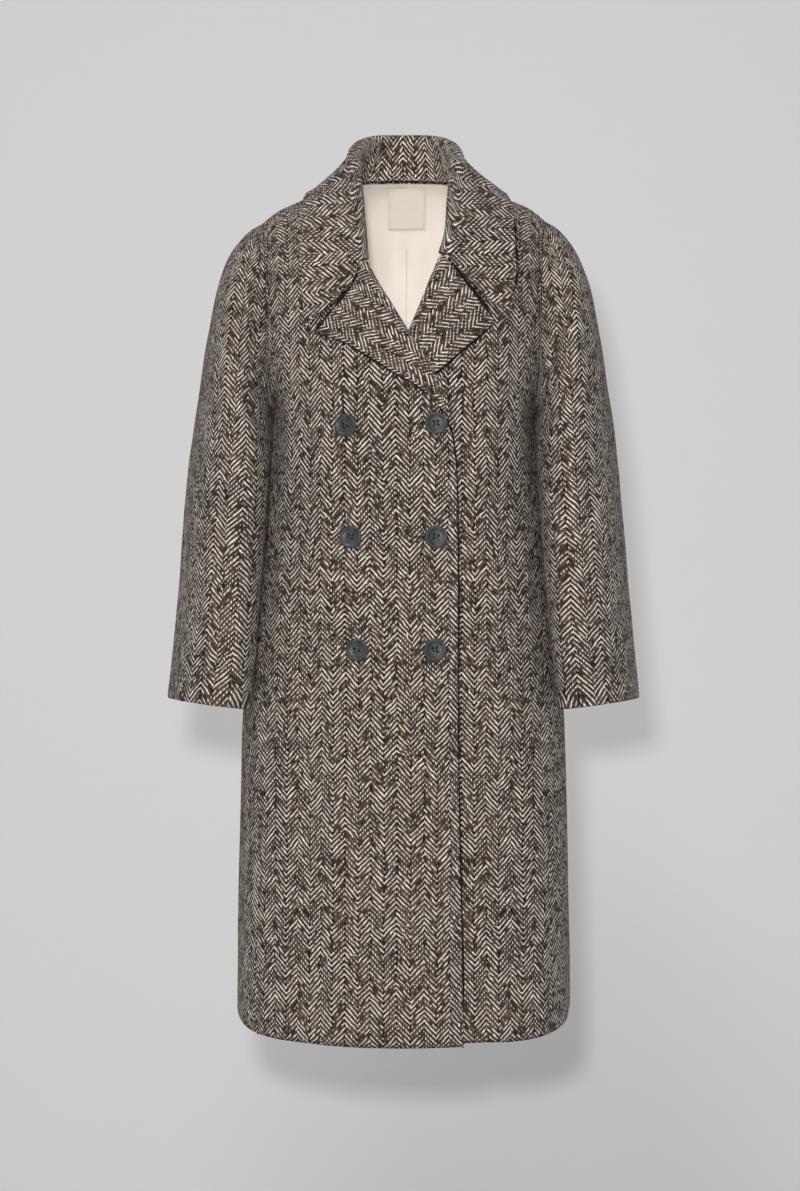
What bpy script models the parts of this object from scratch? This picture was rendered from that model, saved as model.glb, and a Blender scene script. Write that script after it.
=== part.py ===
"""A double-breasted tweed overcoat, hollow as if worn, with nobody in it. Metres, +Z up.

The front faces -Y and the wearer's right is at -X. The origin is the middle of the neck
opening, level with the top of the shoulders. Every cloth piece is an open lofted surface,
its outer face, which Solidify thickens inwards.

The tables describe the wearer's left half, with x growing away from the middle of the coat.
"side" is +1 for the wearer's left and -1 for the wearer's right, whose front is the top layer.
"""
import math

import bmesh
import bpy
from mathutils import Vector

COAT = "double_breasted_overcoat"
LEFT, RIGHT = 1, -1
SIDE_NAME = {LEFT: "left", RIGHT: "right"}

# ------------------------------------------------------------------ driving dimensions
CLOTH = 0.0025            # wall of the tweed
LINING_CLOTH = 0.0010     # wall of the lining and of the label
SEAM_GAP = 0.0004         # clearance between pieces that meet at a seam
SIDE_SEAM_TRIM = 0.0009   # how much narrower a front is than its edge's table, for that clearance
ARMHOLE_GAP = 0.0018      # and at the armholes
UNDERARM_TRIM = 0.0014    # half the clearance along a sleeve's inner seam
RIDGE_GAP = 0.0007        # half the clearance along the shoulder seams, which bend sharply
FOLD_GAP = 0.0022         # clearance behind a lapel's fold
LAYER_GAP = 0.0010        # clearance between layers that lie on each other
OVERLAP_GAP = 0.0018      # clearance between the two fronts

SHOULDER_DROP = 0.200     # height over which a shoulder rounds into the chest
SHOULDER_SQUARENESS = 1.8
NECK_HALF_WIDTH = 0.078
NECK_BACK = 0.083         # how far the back neckline stands behind the origin
UNDERARM_Z = -0.295

OVERLAP_FULL = 0.088      # the top layer stands fully proud of the under layer inside this x
OVERLAP_START = 0.120     # and not at all outside this one
OVERLAP_TOP = -0.190      # the layers start to part at this height
GORGE_Z = -0.110          # and have parted at this one
LAPEL_ROOM = 0.0042       # more room where the under lapel lies between the layers
LAPEL_ROOM_FULL = 0.060   # that room is whole inside this x
LAPEL_ROOM_START = 0.105  # and starts at this one,
LAPEL_ROOM_BOTTOM = -0.380    # and it starts at this height
LAPEL_ROOM_TOP = -0.320   # and is whole at this one
LOWER_SHOULDER = 0.004    # the wearer's right shoulder hangs this much lower

COLLAR_SKEW = 0.006       # how far the collar's outer edge sits towards the wearer's left
FOLD_SKEW = 0.002         # and how far its fold does
GORGE_GAP = 0.0012        # slit between the collar and the lapel
GORGE_BEND = {LEFT: 0.0, RIGHT: 0.014}    # how far the gorge dips below a straight line
COLLAR_CORNER = {LEFT: (0.1255, -0.1850), RIGHT: (0.1165, -0.1935)}    # x and z

FOLD_STEPS = 4            # facets round a fold of the lapels or of the collar
LEAF_STEPS = 6            # and from the fold to the outer edge
LAPEL_ROWS = 11
COLLAR_STAND_STEPS = 3
COLLAR_STEPS = 2          # lofted sections to each station of the collar's table
STAND_LIFT = 0.0016       # the collar's stand starts this far above the neck seam
LEAF_PULL = 0.35          # how straight down the leaf starts, as a share of its length
GORGE_BEND_AT = 0.2       # the bend's place along the gorge, from the fold

BUTTON_RADIUS = 0.014
BUTTON_HEIGHT = 0.0046
BUTTON_SIDES = 16
BUTTON_GAP = 0.0006       # clearance between a button and its front
HOLE_RADIUS = 0.0011
HOLE_SPACING = 0.0050
HOLE_CUTTER = "thread_hole_cutter"
WELT_WIDTH = 0.036
WELT_ROWS = 8
WELT_COLUMNS = 3
LABEL_WIDTH = 0.048
LABEL_CENTRE_X = 0.0046
LABEL_TOP_Z = 0.0085
LABEL_LIFT = 0.0026       # clearance between the label and the faceted lining
LABEL_HEIGHT = 0.050
LABEL_STEPS = 4


def table(columns, *rows):
    """A list of dictionaries: one for each row, with the column names as keys."""
    names = columns.split()
    return [dict(zip(names, row)) for row in rows]


# Level cross-sections of the coat: half its width, and how far it reaches forwards and back.
BODY = table(
    "z      half_width  front_depth  back_depth  squareness",
    (0.020,   0.216,     0.130,       0.134,      2.3),
    (-0.045,  0.206,     0.137,       0.141,      2.3),
    (-0.100,  0.197,     0.143,       0.147,      2.3),
    (-0.200,  0.181,     0.148,       0.152,      2.5),
    (-0.270,  0.167,     0.149,       0.153,      2.8),
    (-0.295,  0.160,     0.149,       0.153,      2.9),
    (-0.340,  0.163,     0.149,       0.153,      2.8),
    (-0.450,  0.176,     0.150,       0.152,      2.5),
    (-0.550,  0.188,     0.152,       0.152,      2.4),
    (-0.661,  0.201,     0.155,       0.154,      2.3),
    (-0.800,  0.206,     0.159,       0.158,      2.3),
    (-1.000,  0.2105,    0.164,       0.164,      2.3),
    (-1.080,  0.2110,    0.165,       0.165,      2.3),
)

# The line along the top of the coat, from the middle of the neck to the shoulder point.
TOP_LINE = table(
    "x       z",
    (0.000,  0.0165),
    (0.040,  0.0140),
    (0.078,  0.0035),
    (0.128, -0.0175),
    (0.156, -0.0292),
    (0.176, -0.0445),
    (0.220, -0.0900),
)

# The outer edge of a front: the side seam up to the underarm, then the armhole.
FRONT_OUTER_EDGE = table(
    "z        x",
    (-1.0400, 0.1750),
    (-0.9000, 0.1750),
    (-0.7800, 0.1750),
    (-0.6600, 0.1750),
    (-0.5500, 0.1730),
    (-0.4500, 0.1690),
    (-0.3700, 0.1628),
    (-0.3300, 0.1610),
    (-0.2950, 0.1600),
    (-0.2920, 0.1604),
    (-0.2850, 0.1622),
    (-0.2700, 0.1650),
    (-0.2300, 0.1680),
    (-0.2000, 0.1680),
    (-0.1700, 0.1680),
    (-0.1400, 0.1685),
    (-0.1100, 0.1695),
    (-0.0850, 0.1710),
    (-0.0650, 0.1730),
    (-0.0520, 0.1748),
    (-0.0445, 0.1760),
)

# The inner edge of a front below the lapel. Below zero it is past the middle of the coat.
FRONT_INNER_EDGE = {
    RIGHT: table("z x", (-1.0535, -0.0725), (-0.90, -0.0700), (-0.78, -0.0675), (-0.66, -0.0660),
                 (-0.45, -0.0655), (-0.37, -0.0640), (-0.32, -0.0580), (-0.296, -0.0455)),
    LEFT: table("z x", (-1.0500, -0.0780), (-0.90, -0.0780), (-0.78, -0.0780), (-0.66, -0.0780),
                (-0.45, -0.0770), (-0.37, -0.0720), (-0.34, -0.0620), (-0.318, -0.0520)),
}

# The hem's height round the coat: 0 degrees is the middle of the front, 180 of the back.
HEM = table(
    "around  z",
    (0,     -1.0535),
    (30,    -1.0520),
    (50,    -1.0490),
    (65,    -1.0425),
    (80,    -1.0355),
    (92,    -1.0340),
    (130,   -1.0400),
    (180,   -1.0450),
)
UNDER_HEM_LIFT = 0.003    # the under layer's hem is this much higher

# Rows of the fronts, hem to neck point: the heights where each crosses the two edges.
FRONT_ROWS = table(
    "inner_z   outer_z",
    (-1.0535, -1.0400),
    (-0.9000, -0.9000),
    (-0.7800, -0.7800),
    (-0.6600, -0.6600),
    (-0.5500, -0.5500),
    (-0.4500, -0.4500),
    (-0.3700, -0.3700),
    (-0.3250, -0.3300),
    (-0.2960, -0.2950),
    (-0.2720, -0.2865),
    (-0.2483, -0.2700),
    (-0.2315, -0.2500),
    (-0.2148, -0.2300),
    (-0.1957, -0.2050),
    (-0.1700, -0.1750),
    (-0.1400, -0.1420),
    (-0.1000, -0.1100),
    (-0.0750, -0.0850),
    (-0.0420, -0.0650),
    (-0.0120, -0.0520),
    (0.0008,  -0.0465),
    (0.0035,  -0.0445),
)

# Lapels: where the cloth folds back, where the lapel's lower edge lies, and how far the fold
# stands proud of the front. Bottom row first; the last row is the gorge, its end the tip.
LAPEL = {
    RIGHT: table(
        "fold_z   fold_x   edge_z   edge_x   proud",
        (-0.2937, -0.0518, -0.2860, -0.0400, 0.0060),
        (-0.2660, -0.0445, -0.2735, -0.0290, 0.0062),
        (-0.2483, -0.0386, -0.2628, -0.0155, 0.0064),
        (-0.2148, -0.0183, -0.2457, 0.0145, 0.0068),
        (-0.1957, -0.0052, -0.2340, 0.0323, 0.0074),
        (-0.1599, 0.0164, -0.2145, 0.0643, 0.0082),
        (-0.1360, 0.0307, -0.2045, 0.0858, 0.0086),
        (-0.1097, 0.0438, -0.1981, 0.1084, 0.0088),
    ),
    LEFT: table(
        "fold_z   fold_x   edge_z   edge_x   proud",
        (-0.3120, -0.0550, -0.3080, -0.0430, 0.0047),
        (-0.2850, -0.0400, -0.2930, -0.0200, 0.0047),
        (-0.2480, -0.0220, -0.2710, 0.0100, 0.0047),
        (-0.2170, -0.0060, -0.2480, 0.0370, 0.0047),
        (-0.1957, 0.0052, -0.2330, 0.0550, 0.0050),
        (-0.1599, 0.0205, -0.2150, 0.0760, 0.0062),
        (-0.1290, 0.0325, -0.1985, 0.0950, 0.0080),
        (-0.1025, 0.0434, -0.1838, 0.1115, 0.0088),
    ),
}
LAPEL_EDGE_PROUD = 0.0038

# The front neckline, under the collar, from the gorge to the neck point.
NECKLINE = table(
    "z       x",
    (-0.1120, 0.0590),
    (-0.0750, 0.0645),
    (-0.0420, 0.0680),
    (-0.0120, 0.0725),
    (0.0035, 0.0780),
)

# The collar from the middle of the back to the front: the way it faces (0 is straight back,
# 90 sideways), the seam it stands on, the top of its roll and its outer edge.
COLLAR = table(
    "station turn neck_x neck_y neck_z   fold_x fold_y  fold_z  edge_x edge_y  edge_z",
    (0,      0,   0.000, 0.083, 0.0165,  0.000, 0.086,  0.0735, 0.000, 0.129, -0.0140),
    (1,      32,  0.040, 0.073, 0.0140,  0.036, 0.076,  0.0715, 0.066, 0.121, -0.0160),
    (2,      62,  0.068, 0.040, 0.0085,  0.057, 0.043,  0.0600, 0.109, 0.078, -0.0160),
    (3,      92,  0.078, 0.000, 0.0035,  0.064, 0.000,  0.0390, 0.122, 0.004, -0.0125),
    (4,      120, 0.074, -0.036, -0.006, 0.061, -0.038, 0.0120, 0.128, -0.050, -0.0360),
    (5,      146, 0.066, -0.087, -0.042, 0.0545, -0.089, -0.0350, 0.129, -0.096, -0.0800),
    (6,      160, 0.060, -0.113, -0.075, 0.0500, -0.117, -0.0760, 0.129, -0.121, -0.1350),
)
FOLD_RADIUS = table("station radius", (0, 0.0070), (2, 0.0070), (4, 0.0062), (6, 0.0057))

# Back rows, neck to hem: heights in the middle and at the edge, and the edge's x. After the
# underarm the edge is the side seam, in front of the coat's widest line.
BACK_ROWS = table(
    "middle_z  edge_z   edge_x  evenly_spaced  wraps_forward",
    (0.0165,  -0.0445,  0.1760, 1.0, False),
    (0.0145,  -0.0465,  0.1757, 1.0, False),
    (0.0090,  -0.0520,  0.1748, 1.0, False),
    (-0.0050, -0.0650,  0.1730, 0.9, False),
    (-0.0280, -0.0850,  0.1710, 0.8, False),
    (-0.0600, -0.1100,  0.1695, 0.6, False),
    (-0.1000, -0.1400,  0.1680, 0.4, False),
    (-0.1400, -0.1700,  0.1670, 0.2, False),
    (-0.1850, -0.2000,  0.1665, 0.1, False),
    (-0.2250, -0.2300,  0.1665, 0.0, False),
    (-0.2620, -0.2700,  0.1645, 0.0, False),
    (-0.2860, -0.2865,  0.1612, 0.0, False),
    (-0.3060, -0.2950,  0.1600, 0.0, True),
    (-0.3360, -0.3300,  0.1610, 0.0, True),
    (-0.3700, -0.3700,  0.1628, 0.0, True),
    (-0.4500, -0.4500,  0.1690, 0.0, True),
    (-0.5500, -0.5500,  0.1730, 0.0, True),
    (-0.6600, -0.6600,  0.1750, 0.0, True),
    (-0.7800, -0.7800,  0.1750, 0.0, True),
    (-0.9000, -0.9000,  0.1750, 0.0, True),
    (-1.0450, -1.0400,  0.1750, 0.0, True),
)
FRONT_COLUMNS = 10
COLUMN_CROWDING = 1.12    # with 1, the fronts' columns crowd most towards the side seam
HALF_BACK_COLUMNS = 8
NECK_COLUMNS = 3          # of those, how many lie under the back neckline
LINING_SHORTER = 0.020    # the lining stops this far above the hem
LINING_LOWER = 0.0006     # and starts this much lower along the shoulder seams
LINING_INSET = 0.15       # and this part of a column short of the side seams

# Rings down a sleeve after the armhole: its outer and inner points, how far it reaches forwards
# and back of the line between them, its lean and where its outer seam lies.
SLEEVE = table(
    "out_x   out_y    out_z    in_x    in_y    in_z    front  back   lean  seam_deg",
    (0.1920, 0.000, -0.0545, 0.1635, 0.000, -0.3000, 0.080, 0.082, 0.00, 0),
    (0.2134, -0.001, -0.0795, 0.1650, -0.004, -0.3040, 0.088, 0.086, 0.01, 6),
    (0.2290, -0.004, -0.1160, 0.1665, -0.013, -0.3090, 0.093, 0.088, 0.04, 12),
    (0.2405, -0.009, -0.1655, 0.1675, -0.026, -0.3180, 0.094, 0.086, 0.07, 18),
    (0.2530, -0.019, -0.2595, 0.1685, -0.046, -0.3440, 0.091, 0.080, 0.10, 25),
    (0.2610, -0.028, -0.3295, 0.1695, -0.060, -0.3850, 0.088, 0.076, 0.12, 30),
    (0.2695, -0.041, -0.4195, 0.1735, -0.074, -0.4600, 0.085, 0.072, 0.13, 35),
    (0.2780, -0.056, -0.5245, 0.1775, -0.086, -0.5500, 0.082, 0.069, 0.13, 40),
    (0.2890, -0.072, -0.6385, 0.1865, -0.099, -0.6510, 0.079, 0.065, 0.13, 44),
)

BUTTONS = table(
    "side   row        x        z",
    (RIGHT, "top",    -0.0687, -0.3100),
    (RIGHT, "middle", -0.0628, -0.4433),
    (RIGHT, "bottom", -0.0556, -0.5779),
    (LEFT,  "top",     0.0385, -0.3076),
    (LEFT,  "middle",  0.0385, -0.4433),
    (LEFT,  "bottom",  0.0373, -0.5779),
)
# Half a button's cross-section, as shares of its radius and height.
BUTTON_OUTLINE = table("radius height", (0.0, 0.62), (0.66, 0.62), (0.80, 1.0), (0.93, 0.93),
                       (1.0, 0.55), (0.93, 0.12), (0.80, 0.0), (0.0, 0.0))
# The middle line of a pocket welt.
WELT_LINE = table("z x", (-0.584, 0.1410), (-0.499, 0.1380), (-0.414, 0.1345))


# ------------------------------------------------------------------ reading the tables
def look_up(rows, key, name, at):
    """The column's value at a key, on a cubic that never overshoots the table."""
    ordered = sorted(rows, key=lambda row: row[key])
    keys = [row[key] for row in ordered]
    values = [row[name] for row in ordered]
    if at <= keys[0]:
        return values[0]
    if at >= keys[-1]:
        return values[-1]
    steps = [b - a for a, b in zip(keys, keys[1:])]
    slopes = [(b - a) / step for a, b, step in zip(values, values[1:], steps)]
    tangents = [slopes[0]]
    for before, after in zip(slopes, slopes[1:]):
        same_way = before * after > 0
        tangents.append(2 * before * after / (before + after) if same_way else 0.0)
    tangents.append(slopes[-1])
    place = max(index for index, start in enumerate(keys[:-1]) if start <= at)
    step = steps[place]
    t = (at - keys[place]) / step
    return (values[place] * (1 + 2 * t) * (1 - t) ** 2
            + tangents[place] * step * t * (1 - t) ** 2
            + values[place + 1] * t * t * (3 - 2 * t)
            + tangents[place + 1] * step * t * t * (t - 1))


def mix(a, b, t):
    return a + (b - a) * t


def smooth_step(start, end, at):
    t = min(max((at - start) / (end - start), 0.0), 1.0)
    return t * t * (3 - 2 * t)


# ------------------------------------------------------------------ the coat's form
def body(name, z):
    return look_up(BODY, "z", name, z)


def top_line(x):
    return look_up(TOP_LINE, "x", "z", abs(x))


def rounding(x, z):
    """How far the shoulder has rounded over at this height: 0 on its top line, 1 at the chest."""
    fallen = min(max((top_line(x) - z) / SHOULDER_DROP, 0.0), 1.0)
    return (1 - (1 - fallen) ** SHOULDER_SQUARENESS) ** (1 / SHOULDER_SQUARENESS)


def section_depth(x, z, name):
    reach = min(abs(x) / body("half_width", z), 1.0)
    squareness = body("squareness", z)
    return body(name, z) * (1 - reach ** squareness) ** (1 / squareness)


def front_surface(x, z):
    """y of the coat's front, without the overlap's extra layer."""
    return -section_depth(x, z, "front_depth") * rounding(x, z)


def neckline_back(x):
    """y of the back neckline, and 0 along the shoulder seam."""
    reach = min(abs(x) / NECK_HALF_WIDTH, 1.0)
    return NECK_BACK * math.sqrt(1 - reach ** 2)


def back_surface(x, z):
    start = neckline_back(x)
    return mix(start, section_depth(x, z, "back_depth"), rounding(x, z))


def overlap(side, x, z):
    """How far the wearer's right front stands out over the left one."""
    if side == LEFT:
        return 0.0
    below_gorge = 1 - smooth_step(OVERLAP_TOP, GORGE_Z, z)
    layered = (1 - smooth_step(OVERLAP_FULL, OVERLAP_START, x)) * below_gorge
    over_lapel = ((1 - smooth_step(LAPEL_ROOM_FULL, LAPEL_ROOM_START, x)) * below_gorge
                  * smooth_step(LAPEL_ROOM_BOTTOM, LAPEL_ROOM_TOP, z))
    return layered * (CLOTH + OVERLAP_GAP) + over_lapel * LAPEL_ROOM


def front_point(side, x, z, proud=0.0):
    """A point on a front's outer face, or standing proud of it."""
    return Vector((side * x, front_surface(x, z) - overlap(side, x, z) - proud, z))


def stand_clear(side, point, proud):
    """The point, pushed out until it stands this far proud of the coat's form."""
    at_front = point.y < 0
    probe = 0.0005

    def surface(x, z):
        return front_surface(x, z) - overlap(side, x, z) if at_front else back_surface(x, z)

    z = min(point.z, top_line(point.x) - 3 * probe)
    on_coat = Vector((point.x, surface(point.x, z), z))
    slope_x = (surface(point.x + probe, z) - surface(point.x - probe, z)) / (2 * probe)
    slope_z = (surface(point.x, z + probe) - surface(point.x, z - probe)) / (2 * probe)
    normal = Vector((slope_x, -1, slope_z)) if at_front else Vector((-slope_x, 1, -slope_z))
    normal.normalize()
    distance = normal.dot(point - on_coat)
    return point + normal * max(proud - distance, 0.0)


def settled(point):
    """The point with the wearer's right shoulder hanging a little lower."""
    share = smooth_step(0.05, 0.18, -point.x) * smooth_step(-0.30, -0.06, point.z)
    return point - Vector((0, 0, LOWER_SHOULDER * share))


# ------------------------------------------------------------------ grids and meshes
def grid_normals(rows):
    """Unit normals of a grid of points, by the right-hand rule from columns to rows."""
    normals = []
    for r, row in enumerate(rows):
        line = []
        for c in range(len(row)):
            along = row[min(c + 1, len(row) - 1)] - row[max(c - 1, 0)]
            down = rows[min(r + 1, len(rows) - 1)][c] - rows[max(r - 1, 0)][c]
            line.append(along.cross(down).normalized())
        normals.append(line)
    return normals


def moved(rows, distance):
    """The grid's points, moved along its normals."""
    return [[point + normal * distance for point, normal in zip(row, line)]
            for row, line in zip(rows, grid_normals(rows))]


def cloth_object(name, rows, material, thickness=CLOTH):
    """A shell whose outer face is the grid; its rows' columns and order give the outward side."""
    mesh = bpy.data.meshes.new(name)
    columns = len(rows[0])
    points = [settled(point) for row in rows for point in row]
    faces = [(r * columns + c, r * columns + c + 1, (r + 1) * columns + c + 1, (r + 1) * columns + c)
             for r in range(len(rows) - 1) for c in range(columns - 1)]
    mesh.from_pydata(points, [], faces)
    mesh.materials.append(material)
    mesh.shade_smooth()
    cloth = bpy.data.objects.new(name, mesh)
    coat.objects.link(cloth)
    shell = cloth.modifiers.new("cloth", "SOLIDIFY")
    shell.thickness = thickness
    shell.offset = -1.0
    return cloth


def plain_material(name, colour, roughness):
    material = bpy.data.materials.new(name)
    material.use_nodes = True
    surface = material.node_tree.nodes["Principled BSDF"]
    surface.inputs["Base Color"].default_value = (*colour, 1.0)
    surface.inputs["Roughness"].default_value = roughness
    surface.inputs["Metallic"].default_value = 0.0
    return material


# ------------------------------------------------------------------ fronts and lapels
def fold_radius(side, z):
    return (look_up(LAPEL[side], "fold_z", "proud", z) + CLOTH) / 2


def front_inner_x(side, z):
    lapel = LAPEL[side]
    if z < lapel[0]["fold_z"]:
        return look_up(FRONT_INNER_EDGE[side], "z", "x", z)
    if z < lapel[-1]["fold_z"]:
        return look_up(lapel, "fold_z", "fold_x", z) + fold_radius(side, z) + FOLD_GAP
    return look_up(NECKLINE, "z", "x", z)


def front_rows(side):
    """From the top row down; each row runs from the inner edge to the outer one."""
    rows = []
    for level in reversed(FRONT_ROWS):
        inner_z = max(level["inner_z"], FRONT_INNER_EDGE[side][0]["z"])
        inner_x = front_inner_x(side, inner_z)
        outer_x = look_up(FRONT_OUTER_EDGE, "z", "x", level["outer_z"]) - SIDE_SEAM_TRIM
        inner_fall = top_line(inner_x) - inner_z
        outer_fall = top_line(outer_x) - level["outer_z"]
        row = []
        for column in range(FRONT_COLUMNS + 1):
            t = math.sin(math.pi / 2 * column / FRONT_COLUMNS) ** COLUMN_CROWDING
            x = mix(inner_x, outer_x, t)
            row.append(front_point(side, x, top_line(x) - mix(inner_fall, outer_fall, t)))
        rows.append(row)
    for point in rows[0]:
        point.y -= RIDGE_GAP
    for point in rows[-1]:
        under = 1 - smooth_step(0.085, 0.14, point.x) if side == LEFT else 0.0
        point.z = hem_z(point) + UNDER_HEM_LIFT * under
    return rows


def hem_z(point):
    """The height of the hem, from how far round the coat the point is."""
    around = math.degrees(math.atan2(abs(point.x), -point.y))
    return look_up(HEM, "around", "z", around)


def make_front(side, material):
    rows = front_rows(side)
    if side == RIGHT:
        rows = [list(reversed(row)) for row in rows]
    return cloth_object(f"front_{SIDE_NAME[side]}", [list(reversed(row)) for row in rows], material)


def lapel_row(side, t, collar_end=False):
    """A line over the lapel from the front's inner face, round the fold, to the outer edge.

    With collar_end it is the same line for the end of the collar, a slit above the lapel.
    """
    rows = LAPEL[side]
    steps = [dict(row, t=index / (len(rows) - 1)) for index, row in enumerate(rows)]
    fold_x, fold_z, edge_x, edge_z, proud = (
        look_up(steps, "t", name, t) for name in ("fold_x", "fold_z", "edge_x", "edge_z", "proud"))
    radius = (proud + CLOTH) / 2
    across = Vector((edge_x - fold_x, 0, edge_z - fold_z)).normalized()
    lift = Vector((-across.z, 0, across.x)) * (GORGE_GAP if collar_end else 0.0)
    base_x = fold_x + radius
    base_y = front_point(side, base_x, fold_z).y
    row = []
    for step in range(FOLD_STEPS + 1):
        angle = math.pi * step / FOLD_STEPS
        row.append(Vector((side * (base_x - radius * math.sin(angle)),
                           base_y + CLOTH - radius + radius * math.cos(angle), fold_z)))
    for step in range(1, LEAF_STEPS + 1):
        s = step / LEAF_STEPS
        bend = min(s / GORGE_BEND_AT, (1 - s) / (1 - GORGE_BEND_AT)) * t ** 4
        x = mix(base_x, edge_x, s)
        z = mix(fold_z, edge_z, s) - GORGE_BEND[side] * bend
        if collar_end:
            spread = smooth_step(0.15, 1.0, s)
            x += (COLLAR_CORNER[side][0] - edge_x) * spread
            z += (COLLAR_CORNER[side][1] - edge_z) * spread
        row.append(front_point(side, x, z, mix(proud, LAPEL_EDGE_PROUD, s ** 1.5)))
    return [point + Vector((side * lift.x, 0, lift.z)) for point in row]


def make_lapel(side, material):
    rows = [lapel_row(side, r / LAPEL_ROWS) for r in range(LAPEL_ROWS, -1, -1)]
    if side == RIGHT:
        rows = [list(reversed(row)) for row in rows]
    return cloth_object(f"lapel_{SIDE_NAME[side]}", [list(reversed(row)) for row in rows], material)


# ------------------------------------------------------------------ collar
def collar_section(side, station):
    """A line from the neck seam up the stand, over the roll and down the leaf to its edge."""
    def point(kind, at):
        return Vector([look_up(COLLAR, "station", f"{kind}_{axis}", at) for axis in "xyz"])

    neck, fold, edge = (point(kind, station) for kind in ("neck", "fold", "edge"))
    edge.x += side * COLLAR_SKEW * smooth_step(1, 5, station)
    fold.x += side * FOLD_SKEW * smooth_step(0, 2, station)
    turn = math.radians(look_up(COLLAR, "station", "turn", station))
    radius = look_up(FOLD_RADIUS, "station", "radius", station)
    along = (point("fold", min(station + 0.5, 6)) - point("fold", max(station - 0.5, 0))).normalized()
    outward = Vector((math.sin(turn), math.cos(turn), 0))
    outward = (outward - along * outward.dot(along)).normalized()
    upward = along.cross(outward).normalized()
    if upward.dot(fold - neck) < 0:
        upward.negate()
    centre = fold - upward * radius
    inner_foot = neck + Vector((-outward.x, -outward.y, 0)) * CLOTH * 1.3 + Vector((0, 0, STAND_LIFT))
    section = []
    stand_top = centre - outward * radius
    for step in range(COLLAR_STAND_STEPS):
        section.append(inner_foot.lerp(stand_top, step / COLLAR_STAND_STEPS))
    for step in range(FOLD_STEPS + 1):
        angle = math.pi * step / FOLD_STEPS
        section.append(centre + upward * radius * math.sin(angle) - outward * radius * math.cos(angle))
    leaf_top = centre + outward * radius
    reach = (edge - leaf_top).length
    start_pull = -upward * reach * LEAF_PULL
    end_pull = edge - leaf_top
    for step in range(1, LEAF_STEPS + 1):
        s = step / LEAF_STEPS
        leaf = (leaf_top * (1 + 2 * s) * (1 - s) ** 2 + start_pull * s * (1 - s) ** 2
                + edge * s * s * (3 - 2 * s) + end_pull * s * s * (s - 1))
        section.append(stand_clear(side, leaf, LAPEL_EDGE_PROUD))
    return [Vector((side * p.x, p.y, p.z)) for p in section]


def gorge_section(side):
    """The collar's front end: the lapel's top line again, one slit away, with a short stand."""
    row = lapel_row(side, 1.0, collar_end=True)
    stand = [row[0] + Vector((side * SEAM_GAP * step, 0, 0)) for step in range(COLLAR_STAND_STEPS, 0, -1)]
    return stand + row


def make_collar(material):
    stations = [step / COLLAR_STEPS for step in range(6 * COLLAR_STEPS + 1)]
    left = [collar_section(LEFT, station) for station in stations] + [gorge_section(LEFT)]
    right = [collar_section(RIGHT, station) for station in stations[1:]] + [gorge_section(RIGHT)]
    return cloth_object("collar", list(reversed(right)) + left, material)


# ------------------------------------------------------------------ back, lining and label
def back_rows():
    """From the neck down; each row runs from the wearer's right edge to the left one."""
    rows = []
    for level in BACK_ROWS:
        edge_x, edge_z = level["edge_x"], level["edge_z"]
        squareness = body("squareness", edge_z)
        reach = min(edge_x / body("half_width", edge_z), 1.0)
        edge_angle = math.asin(reach ** (squareness / 2))
        if level["wraps_forward"]:
            edge_angle = math.pi - edge_angle
        middle_fall = top_line(0) - level["middle_z"]
        edge_fall = top_line(edge_x) - edge_z
        half = []
        for column in range(HALF_BACK_COLUMNS + 1):
            t = column / HALF_BACK_COLUMNS
            angle = edge_angle * t
            if level["wraps_forward"]:
                z = mix(level["middle_z"], edge_z, t)
                x = body("half_width", z) * math.sin(angle) ** (2 / squareness)
                x = edge_x if column == HALF_BACK_COLUMNS else x
                depth = "back_depth" if angle <= math.pi / 2 else "front_depth"
                y = math.copysign(section_depth(x, z, depth), math.cos(angle))
            else:
                neck = NECK_COLUMNS / HALF_BACK_COLUMNS
                even = (NECK_HALF_WIDTH * t / neck if t <= neck
                        else mix(NECK_HALF_WIDTH, edge_x, (t - neck) / (1 - neck)))
                x = mix(body("half_width", edge_z) * math.sin(angle) ** (2 / squareness), even,
                        level["evenly_spaced"])
                x = edge_x if column == HALF_BACK_COLUMNS else x
                z = top_line(x) - mix(middle_fall, edge_fall, t)
                y = back_surface(x, z)
            half.append(Vector((x, y, z)))
        other = [Vector((-p.x, p.y, p.z)) for p in reversed(half[1:])]
        rows.append(other + half)
    for point in rows[0]:
        point.y += RIDGE_GAP
    for point in rows[-1]:
        point.z = hem_z(point)
    return rows


def make_back(material):
    return cloth_object("back", back_rows(), material)


def lining_rows():
    """The back's rows, moved inwards, narrower at the sides and shorter at the hem."""
    rows = back_rows()
    inner = moved(rows, -(CLOTH + LAYER_GAP))
    inner[0] = [point - Vector((0, 0, LINING_LOWER)) for point in inner[0]]
    for row in inner:
        row[0] = row[0].lerp(row[1], LINING_INSET)
        row[-1] = row[-1].lerp(row[-2], LINING_INSET)
    inner[-1] = [p + Vector((0, 0, LINING_SHORTER)) for p in inner[-1]]
    return inner


def make_lining(material):
    return cloth_object("lining_back", lining_rows(), material, LINING_CLOTH)


def make_label(material):
    """A small rectangle of the lining's inner face, moved inwards."""
    rows = []
    offset = CLOTH + LAYER_GAP + LINING_CLOTH + LABEL_LIFT
    for r in range(LABEL_STEPS + 1):
        z = LABEL_TOP_Z - LABEL_HEIGHT * r / LABEL_STEPS
        row = []
        for c in range(LABEL_STEPS, -1, -1):
            x = LABEL_CENTRE_X + LABEL_WIDTH * (c / LABEL_STEPS - 0.5)
            row.append(Vector((x, back_surface(x, z), z)))
        rows.append(row)
    return cloth_object("neck_label", moved(rows, offset), material, LINING_CLOTH)


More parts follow.
